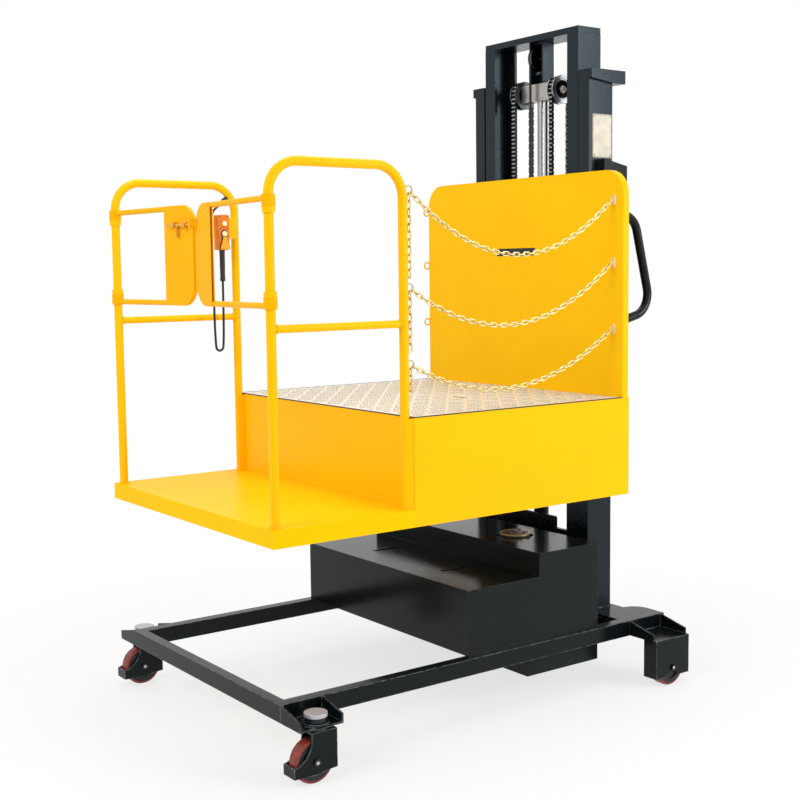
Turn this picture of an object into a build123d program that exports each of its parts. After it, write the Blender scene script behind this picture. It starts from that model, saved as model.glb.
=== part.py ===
"""Semi-electric order picker: a base on casters, a two-stage mast and a lifting platform."""
import os
from math import cos, pi, radians, sin, tan

from build123d import *

# Frame: millimetres, +Z up, floor at z = 0, x = 0 in the middle, the step in front towards -Y.
# The pose is the photographed one: platform partly raised, gate leaves a little open inwards.

# Clearances
running = 0.06
slip = 0.3

# Platform
platform_width = 1150.0
platform_sheet = 4.0
platform_z = 730.0
deck_front_y = -401.0
step_depth = 530.0
step_height = 57.0
step_rib = 6.0
step_rib_spread = 520.0
deck_depth = 980.0
deck_height = 358.0
deck_flange = 40.0
deck_beam_width = 40.0
deck_beam_height = 60.0
deck_beam_spacing = 240.0
tread_thickness = 5.0
tread_gap = 3.0
finger_slot_length = 90.0
finger_slot_width = 18.0
finger_slot_x = 160.0
finger_slot_from_front = 520.0

# Back plate
back_plate_inset = 2.0
back_plate_height = 822.0
back_plate_depth = 28.0
back_plate_sheet = 4.0
back_plate_corner = 90.0
plate_eye_heights = (713.0, 487.0, 246.0)
plate_eye_inset = 48.0

# Guard rails
guard_tube = 30.0
guard_wall = 2.5
guard_inset = 30.0
guard_front_inset = 26.0
guard_top = 1098.0
guard_bend = 100.0
guard_mid_rise = 600.0
guard_mid_tube = 25.0
post_eye_heights = (722.0, 412.0, 166.0)
eye_radius = 14.0
eye_wire = 6.0
eye_stand_off = 10.0

# Gate
gate_angle = 5.0
gate_tube = 19.0
gate_wall = 2.0
gate_height = 318.0
gate_gap = 16.0
gate_corner = 65.0
gate_root = 10.0
gate_plate_left = 182.0
gate_plate_right = 120.0
gate_plate_thickness = 3.0
sleeve_od = 42.0
sleeve_length = 36.0
sleeve_over = 1.0
sleeve_bend_gap = 0.5
collar_od = 40.0
collar_length = 18.0

# Gate latch
latch_drop = 58.0
latch_base_length = 82.0
latch_base_height = 24.0
latch_base_corner = 6.0
latch_base_thickness = 3.0
latch_end_inset = 24.0
latch_loop_length = 16.0
latch_loop_wall = 4.0
bolt_d = 10.0
bolt_length = 132.0
bolt_offset = 22.0
bolt_tip_inset = 7.0
bolt_handle_from_tip = 77.0
bolt_handle_length = 34.0
bolt_handle_d = 8.0
keeper_length = 12.0
keeper_inset = 2.0
keeper_room = 6.0
keeper_wall = 4.0

# Pendant control
pendant_width = 42.0
pendant_height = 132.0
pendant_thickness = 42.0
pendant_wall = 3.0
pendant_corner = 6.0
pendant_rise = 854.5
pendant_post_gap = 40.5
holder_thickness = 4.0
holder_reach = 97.0
holder_rise = 44.0
holder_height = 80.0
button_d = 20.0
button_flange_d = 25.0
button_flange = 3.0
button_room = 3.5
button_proud = 6.0
button_up_rise = 99.5
button_down_rise = 61.0
shroud_top = 14.0
shroud_low = 36.0
shroud_height = 42.0
shroud_proud = 8.0
boot_length = 118.0
boot_top_d = 22.0
boot_low_d = 16.0
cable_d = 9.0
gland_d = 18.0
gland_length = 20.0
gland_angle = 38.0

# Safety chains
chain_pitch = 24.0
chain_wire = 5.0
chain_inner_width = 8.0
chain_play = 0.3
chain_sags = (200.0, 168.0, 140.0)
chain_tail_lengths = (264.0, 192.0, 72.0)
chain_curve_samples = 400

# Base frame
base_width = 1062.0
base_front_y = -894.0
base_tail = 88.0
rail_width = 42.0
rail_height = 58.0
rail_wall = 4.0
rail_bottom_z = 174.0
crossbar_depth = 38.0

# Mast base plate
mast_plate_thickness = 12.0
mast_plate_lead = 12.0
mast_plate_ledge = 18.0
mast_plate_tail = 25.0
mast_plate_horn = 49.0
mast_plate_scallop = 60.0
mast_plate_scallop_r = 64.0

# Wheels and axles
wheel_d = 140.0
wheel_width = 44.0
wheel_round = 8.0
wheel_recess_d = 92.0
wheel_recess = 6.0
wheel_hub_d = 36.0
axle_d = 16.0
axle_head_d = 24.0
axle_head = 6.0

# Front casters
caster_out = 78.0
bracket_out = 114.0
bracket_length = 158.0
bracket_plate = 6.0
bracket_tip_height = 32.0
swivel_gap = 10.0
king_pin_d = 30.0
race_d = 70.0
collar_plate_d = 84.0
collar_plate = 8.0
cap_neck_d = 66.0
cap_neck = 17.0
cap_d = 74.0
cap_height = 12.0
cap_round = 2.0
fork_width = 64.0
fork_plate = 6.0
fork_rear = 57.0
fork_front = 34.0
fork_nose = 99.0
fork_foot_z = 41.0
fork_heel = 23.0
fork_heel_z = 38.0
fork_belly_z = 30.0
fork_lip_z = 33.0
fork_lip_height = 33.0
fork_throat = 52.0
fork_throat_z = 94.0
fork_crown_drop = 14.0
axle_lead = 18.0

# Rear wheel housings
housing_out = 139.0
housing_width = 64.0
housing_length = 176.0
housing_from_rear = 191.0
housing_bottom_z = 37.0
housing_sheet = 5.0
housing_top_rise = 8.0
housing_notch_r = 44.0
housing_notch_z = 10.0
gusset_out = 125.0
gusset_tip = 21.0
gusset_sheet = 6.0

# Battery cover and power unit
cover_width = 1012.0
cover_mast_gap = 118.0
cover_length = 621.0
cover_low_length = 330.0
cover_low_height = 231.0
cover_high_height = 315.0
cover_sheet = 3.0
cover_slot_length = 116.0
cover_slot_width = 18.0
cover_slot_spread = 430.0
cover_slot_lead = 110.0
pan_lead = 287.0
pan_length = 350.0
pan_bottom_z = 100.0
pan_height = 128.0
pan_sheet = 4.0
battery_length = 260.0
battery_width = 172.0
battery_height = 215.0
battery_spacing = 184.0
battery_x = -280.0
battery_lead = 40.0
motor_d = 118.0
motor_x = 209.0
motor_lead = 145.0
motor_proud = 10.0
motor_hole_gap = 9.0
motor_rim = 4.0
tank_length = 300.0
tank_width = 190.0
tank_height = 200.0
manifold_size = 120.0
manifold_height = 70.0
hose_d = 14.0
hose_rise = 30.0
hose_inset = 62.0
hose_elbow = 84.0
hose_bend = 40.0
hose_hole_gap = 6.0

# Mast channels and ties
mast_gap = 32.0
outer_mast_width = 662.0
outer_channel_depth = 125.0
outer_flange = 56.0
channel_web = 10.0
channel_flange = 12.0
outer_mast_top_z = 2298.0
mast_side_clearance = 5.0
inner_channel_depth = 118.0
inner_flange = 60.0
inner_bottom_z = 410.0
inner_top_z = 2464.0
inner_top_tie = 24.0
inner_low_tie_depth = 20.0
inner_low_tie_height = 60.0
inner_low_tie_rise = 60.0
top_tie_height = 49.0
top_tie_depth = 54.0
top_tie_ear = 15.0
top_tie_slope = 14.0
chain_tie_z = 1560.0
chain_tie_height = 60.0
chain_tie_depth = 24.0
chain_lug_height = 20.0
chain_lug_rise = 20.0
chain_lug_margin = 3.0

# Rollers
roller_play = 0.5
roller_width = 38.0
roller_side_gap = 4.0
roller_pin_d = 30.0
roller_round = 3.0
mast_roller_rises = (60.0, 490.0)
carriage_roller_rises = (70.0, 410.0)

# Lift cylinder, crosshead and chains
rod_d = 28.0
barrel_d = 60.0
barrel_bore = 45.0
barrel_top_z = 1640.0
gland_head_d = 68.0
gland_head = 40.0
cylinder_foot_d = 110.0
cylinder_foot = 10.0
port_d = 26.0
port_length = 10.0
rod_bottom_z = 420.0
piston_length = 30.0
piston_play = 0.5
crosshead_width = 176.0
crosshead_depth = 48.0
crosshead_height = 66.0
crosshead_drop = 248.0
crosshead_pin_d = 30.0
hanger_width = 80.0
hanger_plate = 8.0
hanger_depth = 50.0
hanger_window_gap = 5.0
chain_wheel_spread = 215.0
chain_wheel_pitch_r = 45.0
chain_wheel_width = 34.0
chain_wheel_flange = 5.0
chain_wheel_rim = 10.0
lift_chain_width = 20.0
lift_chain_thickness = 14.0
pulley_x = -15.0
pulley_r = 48.0
pulley_width = 18.0
pulley_drop = 59.0
pulley_pin_d = 14.0
trailing_cable_d = 10.0

# Push handles
handle_tube = 34.0
handle_wall = 3.0
handle_box_sheet = 4.0
handle_box_out = 36.0
handle_box_length = 120.0
handle_box_lead = 48.0
handle_box_bottom_z = 1300.0
handle_box_top_z = 1965.0
handle_box_slope = 24.0
handle_sink = 8.0
handle_top_z = 1757.0
handle_low_z = 1353.0
handle_knee_out = 66.0
handle_knee_bend = 80.0
handle_heel_out = 162.5
handle_heel_rise = 38.0
handle_heel_bend = 85.0

# Carriage
carriage_plate = 15.0
carriage_face = 16.0
carriage_face_inset = 10.0
carriage_gap = 5.0
carriage_rise = 15.0
carriage_height = 450.0
carriage_side_inset = 15.0
chain_beam_rise = 40.0
chain_beam_height = 30.0
chain_beam_clear = 3.0
stay_width = 20.0
stay_spread = 360.0
stay_top_drop = 200.0

# Fasteners
bolt_head_d = 24.0
bolt_head = 9.0
foot_bolt_circle = 84.0
foot_bolt_d = 16.0
foot_bolt_count = 4
handle_bolt_inset = 60.0

# Worked-out places
half_width = platform_width / 2
step_front_y = deck_front_y - step_depth
step_top_z = platform_z + step_height
deck_rear_y = deck_front_y + deck_depth
deck_top_z = platform_z + deck_height
tread_seat_z = deck_top_z - tread_thickness
back_plate_rear_y = deck_rear_y - platform_sheet
back_plate_front_y = back_plate_rear_y - back_plate_depth
back_plate_half = half_width - back_plate_inset
back_plate_top_z = deck_top_z + back_plate_height
guard_x = half_width - guard_inset
guard_front_y = step_front_y + guard_front_inset
guard_rear_y = deck_front_y - guard_tube / 2 - slip
guard_top_z = step_top_z + guard_top
sleeve_top_z = guard_top_z - guard_bend - sleeve_bend_gap
gate_top_z = sleeve_top_z - sleeve_over - gate_tube / 2
gate_low_z = gate_top_z - gate_height
low_sleeve_z = gate_low_z - gate_tube / 2 - sleeve_over
gate_tip = guard_x - gate_gap / 2
latch_z = gate_top_z - latch_drop
eye_y = guard_rear_y + guard_tube / 2 + eye_stand_off
rail_top_z = rail_bottom_z + rail_height
rail_outer_x = base_width / 2
rail_inner_x = rail_outer_x - rail_width
wheel_r = wheel_d / 2
caster_x = rail_outer_x + caster_out
caster_y = base_front_y + bracket_length / 2
axle_y = caster_y - axle_lead
fork_top_z = rail_bottom_z - swivel_gap
collar_top_z = rail_bottom_z + bracket_plate + collar_plate
housing_x = rail_outer_x + housing_out
housing_top_z = rail_bottom_z + housing_top_rise
mast_front_y = deck_rear_y + mast_gap
mast_y = mast_front_y + outer_channel_depth / 2
mast_rear_y = mast_front_y + outer_channel_depth
base_rear_y = mast_rear_y + base_tail
housing_front_y = base_rear_y - housing_from_rear
rear_wheel_x = housing_x - housing_width / 2
rear_wheel_y = housing_front_y + housing_length / 2
outer_x = outer_mast_width / 2
inner_x = outer_x - outer_flange - mast_side_clearance
inner_front_y = mast_y - inner_channel_depth / 2
mast_roller_d = outer_channel_depth - 2 * channel_flange - 2 * roller_play
carriage_roller_d = inner_channel_depth - 2 * channel_flange - 2 * roller_play
carriage_x = inner_x - inner_flange - carriage_gap
carriage_z = platform_z + carriage_rise
carriage_face_rear_y = deck_rear_y + carriage_face
carriage_face_half = inner_x - carriage_face_inset
chain_beam_top_z = carriage_z + chain_beam_rise + chain_beam_height
crosshead_z = inner_top_z - crosshead_drop
crosshead_front_y = mast_y - crosshead_depth / 2
crosshead_rear_y = mast_y + crosshead_depth / 2
crosshead_top_z = crosshead_z + crosshead_height
chain_wheel_x = chain_wheel_spread / 2
chain_wheel_z = crosshead_z + crosshead_height / 2
chain_lug_top_z = chain_tie_z + chain_lug_rise + chain_lug_height
pulley_z = inner_top_z - inner_top_tie - pulley_drop
pulley_groove_r = pulley_r - trailing_cable_d / 2
cover_rear_y = mast_front_y - cover_mast_gap
cover_front_y = cover_rear_y - cover_length
cover_step_y = cover_front_y + cover_low_length
cover_low_z = rail_top_z + cover_low_height
cover_high_z = rail_top_z + cover_high_height
pan_front_y = cover_front_y + pan_lead
pan_floor_z = pan_bottom_z + pan_sheet
motor_y = cover_step_y + motor_lead
motor_top_z = cover_high_z + motor_proud
tank_rear_y = motor_y + tank_width / 2
hose_x = motor_x - tank_length / 2 + hose_inset
hose_z = rail_top_z + hose_rise
port_y = mast_y - barrel_d / 2 - port_length
pendant_x = -guard_x + guard_tube / 2
pendant_face_x = pendant_x + pendant_thickness
pendant_y = guard_rear_y - guard_tube / 2 - pendant_post_gap - pendant_width / 2
pendant_z = step_top_z + pendant_rise

# The pendant cable's route: out of the boot, down, round a loop and up to the gland on the guard.
cable_route = [
    (-509.0, -492.8, 1523.5),
    (-509.0, -492.8, 1279.4),
    (-501.7, -509.7, 1261.0),
    (-491.3, -533.5, 1261.0),
    (-484.0, -550.4, 1279.4),
    (-490.0, -549.5, 1750.0),
    (-517.0, -528.0, 1784.0),
    (-545.0, -491.0, 1804.77),
    (-545.0, -465.08, 1825.02),
]
cable_ease = 0.45


def write(piece, node):
    """Label a finished piece and write its STEP file."""
    piece.part.label = node
    export_step(piece.part, f"parts/{node}.step")


def write_pair(piece, node):
    """Write a piece made on the +X side as the right one, and its mirror image as the left one."""
    write(piece, f"{node}_right")
    with BuildPart() as twin:
        mirror(piece.part, about=Plane.YZ)
    write(twin, f"{node}_left")


def side_plane(x):
    """Upright plane across X: its own x is the machine's Y and its own y is the machine's Z."""
    return Plane(origin=(x, 0, 0), x_dir=(0, 1, 0), z_dir=(1, 0, 0))


def front_plane(y):
    """Upright plane across Y, facing forwards: its own x is the machine's X and its own y is Z."""
    return Plane(origin=(0, y, 0), x_dir=(1, 0, 0), z_dir=(0, -1, 0))


def leaf_plane(side):
    """Upright plane of a gate leaf, facing forwards: x = 0 is the hinge, its own y is Z."""
    along = Vector(cos(radians(gate_angle)), -side * sin(radians(gate_angle)), 0)
    return Plane(origin=(side * guard_x, guard_front_y, 0), x_dir=along, z_dir=along.cross(Vector(0, 0, 1)))


def block(low, high, mode=Mode.ADD):
    """A box between two corners."""
    centre = tuple((a + b) / 2 for a, b in zip(low, high))
    with Locations(centre):
        Box(high[0] - low[0], high[1] - low[1], high[2] - low[2], mode=mode)


def bar(start, end, diameter, mode=Mode.ADD):
    """A round bar between two points."""
    line = Vector(*end) - Vector(*start)
    with BuildSketch(Plane(origin=start, z_dir=line)) as section:
        Circle(diameter / 2)
    extrude(section.sketch, amount=line.length, mode=mode)


def cross_bar(x_from, x_to, y, z, diameter, mode=Mode.ADD):
    """A round bar along X."""
    bar((x_from, y, z), (x_to, y, z), diameter, mode)


def post(x, y, z_from, z_to, diameter, mode=Mode.ADD):
    """A round bar along Z."""
    bar((x, y, z_from), (x, y, z_to), diameter, mode)


def tube_along(path, diameter, mode=Mode.ADD):
    """Sweep a round section along a wire."""
    with BuildSketch(Plane(origin=path @ 0, z_dir=path % 0)) as section:
        Circle(diameter / 2)
    sweep(section.sketch, path=path, mode=mode)


os.makedirs("parts", exist_ok=True)


# Base frame: two rails and a front crossbar, welded from rectangular tube that is open at the rear
def rail_plan(inset):
    """Plan of the rails and crossbar, drawn in by the wall's thickness for the bore."""
    front = base_front_y + inset
    inner_front = base_front_y + crossbar_depth - inset
    outer = rail_outer_x - inset
    inner = rail_inner_x + inset
    Polygon(
        (-outer, front), (outer, front), (outer, base_rear_y), (inner, base_rear_y), (inner, inner_front),
        (-inner, inner_front), (-inner, base_rear_y), (-outer, base_rear_y), align=None,
    )


with BuildPart() as base_frame:
    with BuildSketch(Plane.XY.offset(rail_bottom_z)):
        rail_plan(0)
    extrude(amount=rail_height)
    with BuildSketch(Plane.XY.offset(rail_bottom_z + rail_wall)):
        rail_plan(rail_wall)
    extrude(amount=rail_height - 2 * rail_wall, mode=Mode.SUBTRACT)
write(base_frame, "base_frame")

# Mast base plate between the rails, with a scalloped rear edge
plate_front_y = mast_front_y - mast_plate_lead
plate_side_y = plate_front_y + mast_plate_ledge
plate_rear_y = mast_rear_y + mast_plate_tail
plate_neck_x = outer_x + top_tie_ear
horn_x = rail_inner_x - mast_plate_horn
scallop_end_x = horn_x - mast_plate_scallop
with BuildPart() as mast_base_plate:
    with BuildSketch(Plane.XY.offset(rail_top_z - mast_plate_thickness)):
        with BuildLine():
            Polyline(
                (0, plate_front_y), (plate_neck_x, plate_front_y),
                (plate_neck_x + mast_plate_ledge, plate_side_y), (rail_inner_x, plate_side_y),
                (rail_inner_x, base_rear_y), (horn_x, base_rear_y),
            )
            RadiusArc((horn_x, base_rear_y), (scallop_end_x, plate_rear_y), -mast_plate_scallop_r)
            Polyline((scallop_end_x, plate_rear_y), (0, plate_rear_y), (0, plate_front_y))
        make_face()
        mirror(about=Plane.YZ)
    extrude(amount=mast_plate_thickness)
write(mast_base_plate, "mast_base_plate")

# Front caster brackets, outboard of the rails
bracket_x = rail_outer_x + bracket_out
bracket_rear_y = base_front_y + bracket_length
with BuildPart() as caster_bracket:
    block(
        (rail_outer_x, base_front_y, rail_bottom_z),
        (bracket_x, bracket_rear_y, rail_bottom_z + bracket_plate),
    )
    for flange_rear_y in (base_front_y + bracket_plate, bracket_rear_y):
        with BuildSketch(front_plane(flange_rear_y)):
            Polygon(
                (rail_outer_x, rail_bottom_z), (bracket_x, rail_bottom_z),
                (bracket_x, rail_bottom_z + bracket_tip_height), (rail_outer_x, rail_top_z), align=None,
            )
        extrude(amount=bracket_plate)
    post(caster_x, caster_y, rail_bottom_z, collar_top_z, collar_plate_d)
    post(caster_x, caster_y, rail_bottom_z, collar_top_z, king_pin_d + 2 * running, Mode.SUBTRACT)
write_pair(caster_bracket, "caster_bracket")

# Front caster forks, which swivel on the king pins
fork_inner_x = caster_x - fork_width / 2
fork_outer_x = caster_x + fork_width / 2
fork_nose_y = caster_y - fork_nose
fork_lip_top = (fork_nose_y, fork_lip_z + fork_lip_height)
fork_crown = (caster_y - fork_front, fork_top_z - fork_crown_drop)
fork_rear_top = (caster_y + fork_rear, fork_top_z)
with BuildPart() as caster_fork:
    for cheek_x in (fork_inner_x, fork_outer_x - fork_plate):
        with BuildSketch(side_plane(cheek_x)):
            with BuildLine():
                Polyline(
                    fork_rear_top, (caster_y + fork_rear, fork_foot_z),
                    (caster_y + fork_heel, fork_heel_z), (axle_y, fork_belly_z),
                    (fork_nose_y, fork_lip_z), fork_lip_top,
                )
                ThreePointArc(fork_lip_top, (caster_y - fork_throat, fork_throat_z), fork_crown)
                Polyline(fork_crown, (caster_y - fork_front, fork_top_z), fork_rear_top)
            make_face()
        extrude(amount=fork_plate)
    block(
        (fork_inner_x, caster_y - fork_front, fork_top_z - fork_plate),
        (fork_outer_x, caster_y + fork_rear, fork_top_z),
    )
    block(
        (fork_inner_x, fork_nose_y, fork_lip_z),
        (fork_outer_x, fork_nose_y + fork_plate, fork_lip_z + fork_lip_height),
    )
    cross_bar(fork_inner_x, fork_outer_x, axle_y, wheel_r, axle_d + 2 * running, Mode.SUBTRACT)
write_pair(caster_fork, "caster_fork")

# King pins with race and cap, grouped with the wheel axle below
pin_top_z = collar_top_z + slip + cap_neck
with BuildPart() as king_pin:
    post(caster_x, caster_y, fork_top_z, rail_bottom_z - slip, race_d)
    post(caster_x, caster_y, fork_top_z, pin_top_z, king_pin_d)
    post(caster_x, caster_y, collar_top_z + slip, pin_top_z, cap_neck_d)
    post(caster_x, caster_y, pin_top_z, pin_top_z + cap_height, cap_d)
    fillet(king_pin.edges().group_by(Axis.Z)[-1], cap_round)
    cross_bar(fork_inner_x, fork_outer_x, axle_y, wheel_r, axle_d)
    cross_bar(fork_inner_x - axle_head, fork_inner_x, axle_y, wheel_r, axle_head_d)
    cross_bar(fork_outer_x, fork_outer_x + axle_head, axle_y, wheel_r, axle_head_d)
write_pair(king_pin, "king_pin")


# Wheels: a polyurethane tyre bonded to a core that turns on the axle
def make_wheel(x, y, room):
    """A wheel about an axle along X, in a fork or housing with this much room between its sides."""
    with BuildPart() as wheel:
        cross_bar(x - wheel_width / 2, x + wheel_width / 2, y, wheel_r, wheel_d)
        fillet(wheel.edges(), wheel_round)
        for way in (-1, 1):
            face_x = x + way * wheel_width / 2
            cross_bar(face_x, face_x - way * wheel_recess, y, wheel_r, wheel_recess_d, Mode.SUBTRACT)
        hub = room / 2 - slip
        cross_bar(x - hub, x + hub, y, wheel_r, wheel_hub_d)
        cross_bar(x - hub, x + hub, y, wheel_r, axle_d + 2 * running, Mode.SUBTRACT)
    return wheel


write_pair(make_wheel(caster_x, axle_y, fork_width - 2 * fork_plate), "caster_wheel")
write_pair(make_wheel(rear_wheel_x, rear_wheel_y, housing_width - 2 * housing_sheet), "rear_wheel")

# Rear wheel housings, outboard of the rails, with their axles
housing_inner_x = housing_x - housing_width
housing_rear_y = housing_front_y + housing_length
housing_roof_z = housing_top_z - gusset_sheet
with BuildPart() as rear_wheel_housing:
    block(
        (housing_inner_x, housing_front_y, housing_bottom_z), (housing_x, housing_rear_y, housing_top_z),
    )
    block(
        (housing_inner_x + housing_sheet, housing_front_y + housing_sheet, housing_bottom_z),
        (housing_x - housing_sheet, housing_rear_y - housing_sheet, housing_roof_z), Mode.SUBTRACT,
    )
    block((rail_outer_x, housing_front_y, housing_roof_z), (housing_inner_x, housing_rear_y, housing_top_z))
    for gusset_rear_y in (housing_front_y + gusset_sheet, housing_rear_y):
        with BuildSketch(front_plane(gusset_rear_y)):
            Polygon(
                (rail_outer_x, housing_top_z), (rail_outer_x + gusset_out, housing_top_z),
                (rail_outer_x + gusset_out, housing_top_z + gusset_tip), (rail_outer_x, rail_top_z),
                align=None,
            )
        extrude(amount=gusset_sheet)
    cross_bar(
        housing_x - housing_sheet, housing_x, rear_wheel_y, housing_notch_z, 2 * housing_notch_r,
        Mode.SUBTRACT,
    )
    cross_bar(housing_inner_x, housing_x, rear_wheel_y, wheel_r, axle_d + 2 * running, Mode.SUBTRACT)
write_pair(rear_wheel_housing, "rear_wheel_housing")

with BuildPart() as rear_axles:
    cross_bar(housing_inner_x, housing_x, rear_wheel_y, wheel_r, axle_d)
    cross_bar(housing_inner_x - axle_head, housing_inner_x, rear_wheel_y, wheel_r, axle_head_d)
    cross_bar(housing_x, housing_x + axle_head, rear_wheel_y, wheel_r, axle_head_d)
    mirror(about=Plane.YZ)
write(rear_axles, "rear_axles")


# Battery cover: a stepped sheet-metal box on the rails
def cover_profile(inset):
    """Side outline of the cover, drawn in by the sheet for its inside."""
    front = cover_front_y + inset
    rear = cover_rear_y - inset
    step = cover_step_y + inset
    Polygon(
        (front, rail_top_z), (rear, rail_top_z), (rear, cover_high_z - inset), (step, cover_high_z - inset),
        (step, cover_low_z - inset), (front, cover_low_z - inset), align=None,
    )


with BuildPart() as battery_cover:
    with BuildSketch(side_plane(-cover_width / 2)):
        cover_profile(0)
    extrude(amount=cover_width)
    with BuildSketch(side_plane(-cover_width / 2 + cover_sheet)):
        cover_profile(cover_sheet)
    extrude(amount=cover_width - 2 * cover_sheet, mode=Mode.SUBTRACT)
    slot_y = cover_front_y + cover_slot_lead + cover_slot_length / 2
    with BuildSketch(Plane.XY.offset(cover_low_z)):
        with Locations((-cover_slot_spread / 2, slot_y), (cover_slot_spread / 2, slot_y)):
            SlotOverall(cover_slot_length, cover_slot_width, rotation=90)
    extrude(amount=-cover_sheet, mode=Mode.SUBTRACT)
    motor_hole_d = motor_d + 2 * motor_hole_gap
    post(motor_x, motor_y, cover_high_z - cover_sheet, cover_high_z, motor_hole_d, Mode.SUBTRACT)
    hose_hole_d = hose_d + 2 * hose_hole_gap
    bar(
        (hose_x, cover_rear_y - cover_sheet, hose_z), (hose_x, cover_rear_y, hose_z), hose_hole_d,
        Mode.SUBTRACT,
    )
write(battery_cover, "battery_cover")

# Belly pan between the rails, and the power unit in it
pan_rear_y = pan_front_y + pan_length
with BuildPart() as belly_pan:
    block((-rail_inner_x, pan_front_y, pan_bottom_z), (rail_inner_x, pan_rear_y, pan_bottom_z + pan_height))
    block(
        (-rail_inner_x + pan_sheet, pan_front_y + pan_sheet, pan_floor_z),
        (rail_inner_x - pan_sheet, pan_rear_y - pan_sheet, pan_bottom_z + pan_height), Mode.SUBTRACT,
    )
write(belly_pan, "belly_pan")

battery_y = pan_front_y + battery_lead + battery_length / 2
with BuildPart() as batteries:
    with Locations((battery_x, battery_y, pan_floor_z + battery_height / 2)):
        with GridLocations(battery_spacing, 1, 2, 1):
            Box(battery_width, battery_length, battery_height)
write(batteries, "batteries")

tank_top_z = pan_floor_z + tank_height
manifold_top_z = tank_top_z + manifold_height
with BuildPart() as oil_tank:
    block(
        (motor_x - tank_length / 2, tank_rear_y - tank_width, pan_floor_z),
        (motor_x + tank_length / 2, tank_rear_y, tank_top_z),
    )
    block(
        (motor_x - manifold_size / 2, motor_y - manifold_size / 2, tank_top_z),
        (motor_x + manifold_size / 2, motor_y + manifold_size / 2, manifold_top_z),
    )
write(oil_tank, "oil_tank")

with BuildPart() as pump_motor:
    post(motor_x, motor_y, manifold_top_z, motor_top_z, motor_d)
    chamfer(pump_motor.edges().group_by(Axis.Z)[-1], motor_rim)
write(pump_motor, "pump_motor")

elbow_y = tank_rear_y + hose_elbow
with BuildLine() as hose_path:
    FilletPolyline(
        (hose_x, tank_rear_y, hose_z), (hose_x, elbow_y, hose_z), (0, elbow_y, hose_z), (0, port_y, hose_z),
        radius=hose_bend,
    )
with BuildPart() as hydraulic_line:
    tube_along(hose_path.wire(), hose_d)
write(hydraulic_line, "hydraulic_line")


# Mast channels: each is a C, the outer pair and the inner pair both open towards the middle
def channel(face_x, depth, flange, z_from, z_to):
    """A channel with its web's outer face at face_x and its opening towards the middle."""
    with BuildPart() as rail:
        block((face_x - flange, mast_y - depth / 2, z_from), (face_x, mast_y + depth / 2, z_to))
        hollow = depth / 2 - channel_flange
        block(
            (face_x - flange, mast_y - hollow, z_from), (face_x - channel_web, mast_y + hollow, z_to),
            Mode.SUBTRACT,
        )
    return rail


inner_channel_top_z = inner_top_z - inner_top_tie
outer_channel = channel(outer_x, outer_channel_depth, outer_flange, rail_top_z, outer_mast_top_z)
write_pair(outer_channel, "outer_mast_channel")

# Inner channels carry the roller pins on the outer face of their webs
mast_roller_end = outer_x - channel_web - roller_side_gap
inner_channel = channel(inner_x, inner_channel_depth, inner_flange, inner_bottom_z, inner_channel_top_z)
with BuildPart() as inner_mast_channel:
    add(inner_channel.part)
    for rise in mast_roller_rises:
        cross_bar(inner_x, mast_roller_end, mast_y, inner_bottom_z + rise, roller_pin_d)
write_pair(inner_mast_channel, "inner_mast_channel")


# Rollers in pairs, which turn on their pins in the channels
def roller_pair(outer_end, z, diameter):
    """Left and right rollers of one height; outer_end is the face next to the web."""
    with BuildPart() as pair:
        cross_bar(outer_end - roller_width, outer_end, mast_y, z, diameter)
        fillet(pair.edges(), roller_round)
        bore = roller_pin_d + 2 * running
        cross_bar(outer_end - roller_width, outer_end, mast_y, z, bore, Mode.SUBTRACT)
        mirror(about=Plane.YZ)
    return pair


carriage_roller_end = inner_x - channel_web - roller_side_gap
roller_places = zip(("lower", "upper"), mast_roller_rises, carriage_roller_rises)
for place, mast_rise, carriage_roller_rise in roller_places:
    mast_rollers = roller_pair(mast_roller_end, inner_bottom_z + mast_rise, mast_roller_d)
    write(mast_rollers, f"mast_rollers_{place}")
    carriage_rollers = roller_pair(carriage_roller_end, carriage_z + carriage_roller_rise, carriage_roller_d)
    write(carriage_rollers, f"carriage_rollers_{place}")

# Outer mast ties: a collar round the top from behind, and the bar that anchors the chains
top_tie_z = outer_mast_top_z - top_tie_height
top_tie_rear_y = mast_rear_y + top_tie_depth
chain_lug_front_y = mast_y + chain_wheel_pitch_r - lift_chain_thickness / 2 - chain_lug_margin
lug_half = lift_chain_width / 2 + chain_lug_margin
with BuildPart() as outer_mast_ties:
    for side in (-1, 1):
        with BuildSketch(side_plane(side * (outer_x + top_tie_ear / 2))):
            Polygon(
                (mast_front_y, outer_mast_top_z), (mast_front_y, top_tie_z + top_tie_slope),
                (mast_rear_y, top_tie_z), (top_tie_rear_y, top_tie_z), (top_tie_rear_y, outer_mast_top_z),
                align=None,
            )
        extrude(amount=top_tie_ear / 2, both=True)
    block((-outer_x, mast_rear_y, top_tie_z), (outer_x, top_tie_rear_y, outer_mast_top_z))
    block(
        (-outer_x, mast_rear_y, chain_tie_z),
        (outer_x, mast_rear_y + chain_tie_depth, chain_tie_z + chain_tie_height),
    )
    for lug_x in (-chain_wheel_x, pulley_x, chain_wheel_x):
        block(
            (lug_x - lug_half, chain_lug_front_y, chain_lug_top_z - chain_lug_height),
            (lug_x + lug_half, mast_rear_y, chain_lug_top_z),
        )
write(outer_mast_ties, "outer_mast_ties")

# Inner mast ties: a plate across the top and a bar low in front
with BuildPart() as inner_mast_ties:
    block(
        (-inner_x, inner_front_y, inner_channel_top_z),
        (inner_x, inner_front_y + inner_channel_depth, inner_top_z),
    )
    low_tie_z = inner_bottom_z + inner_low_tie_rise
    low_tie_half = inner_x - inner_flange
    block(
        (-low_tie_half, inner_front_y, low_tie_z),
        (low_tie_half, inner_front_y + inner_low_tie_depth, low_tie_z + inner_low_tie_height),
    )
write(inner_mast_ties, "inner_mast_ties")

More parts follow.
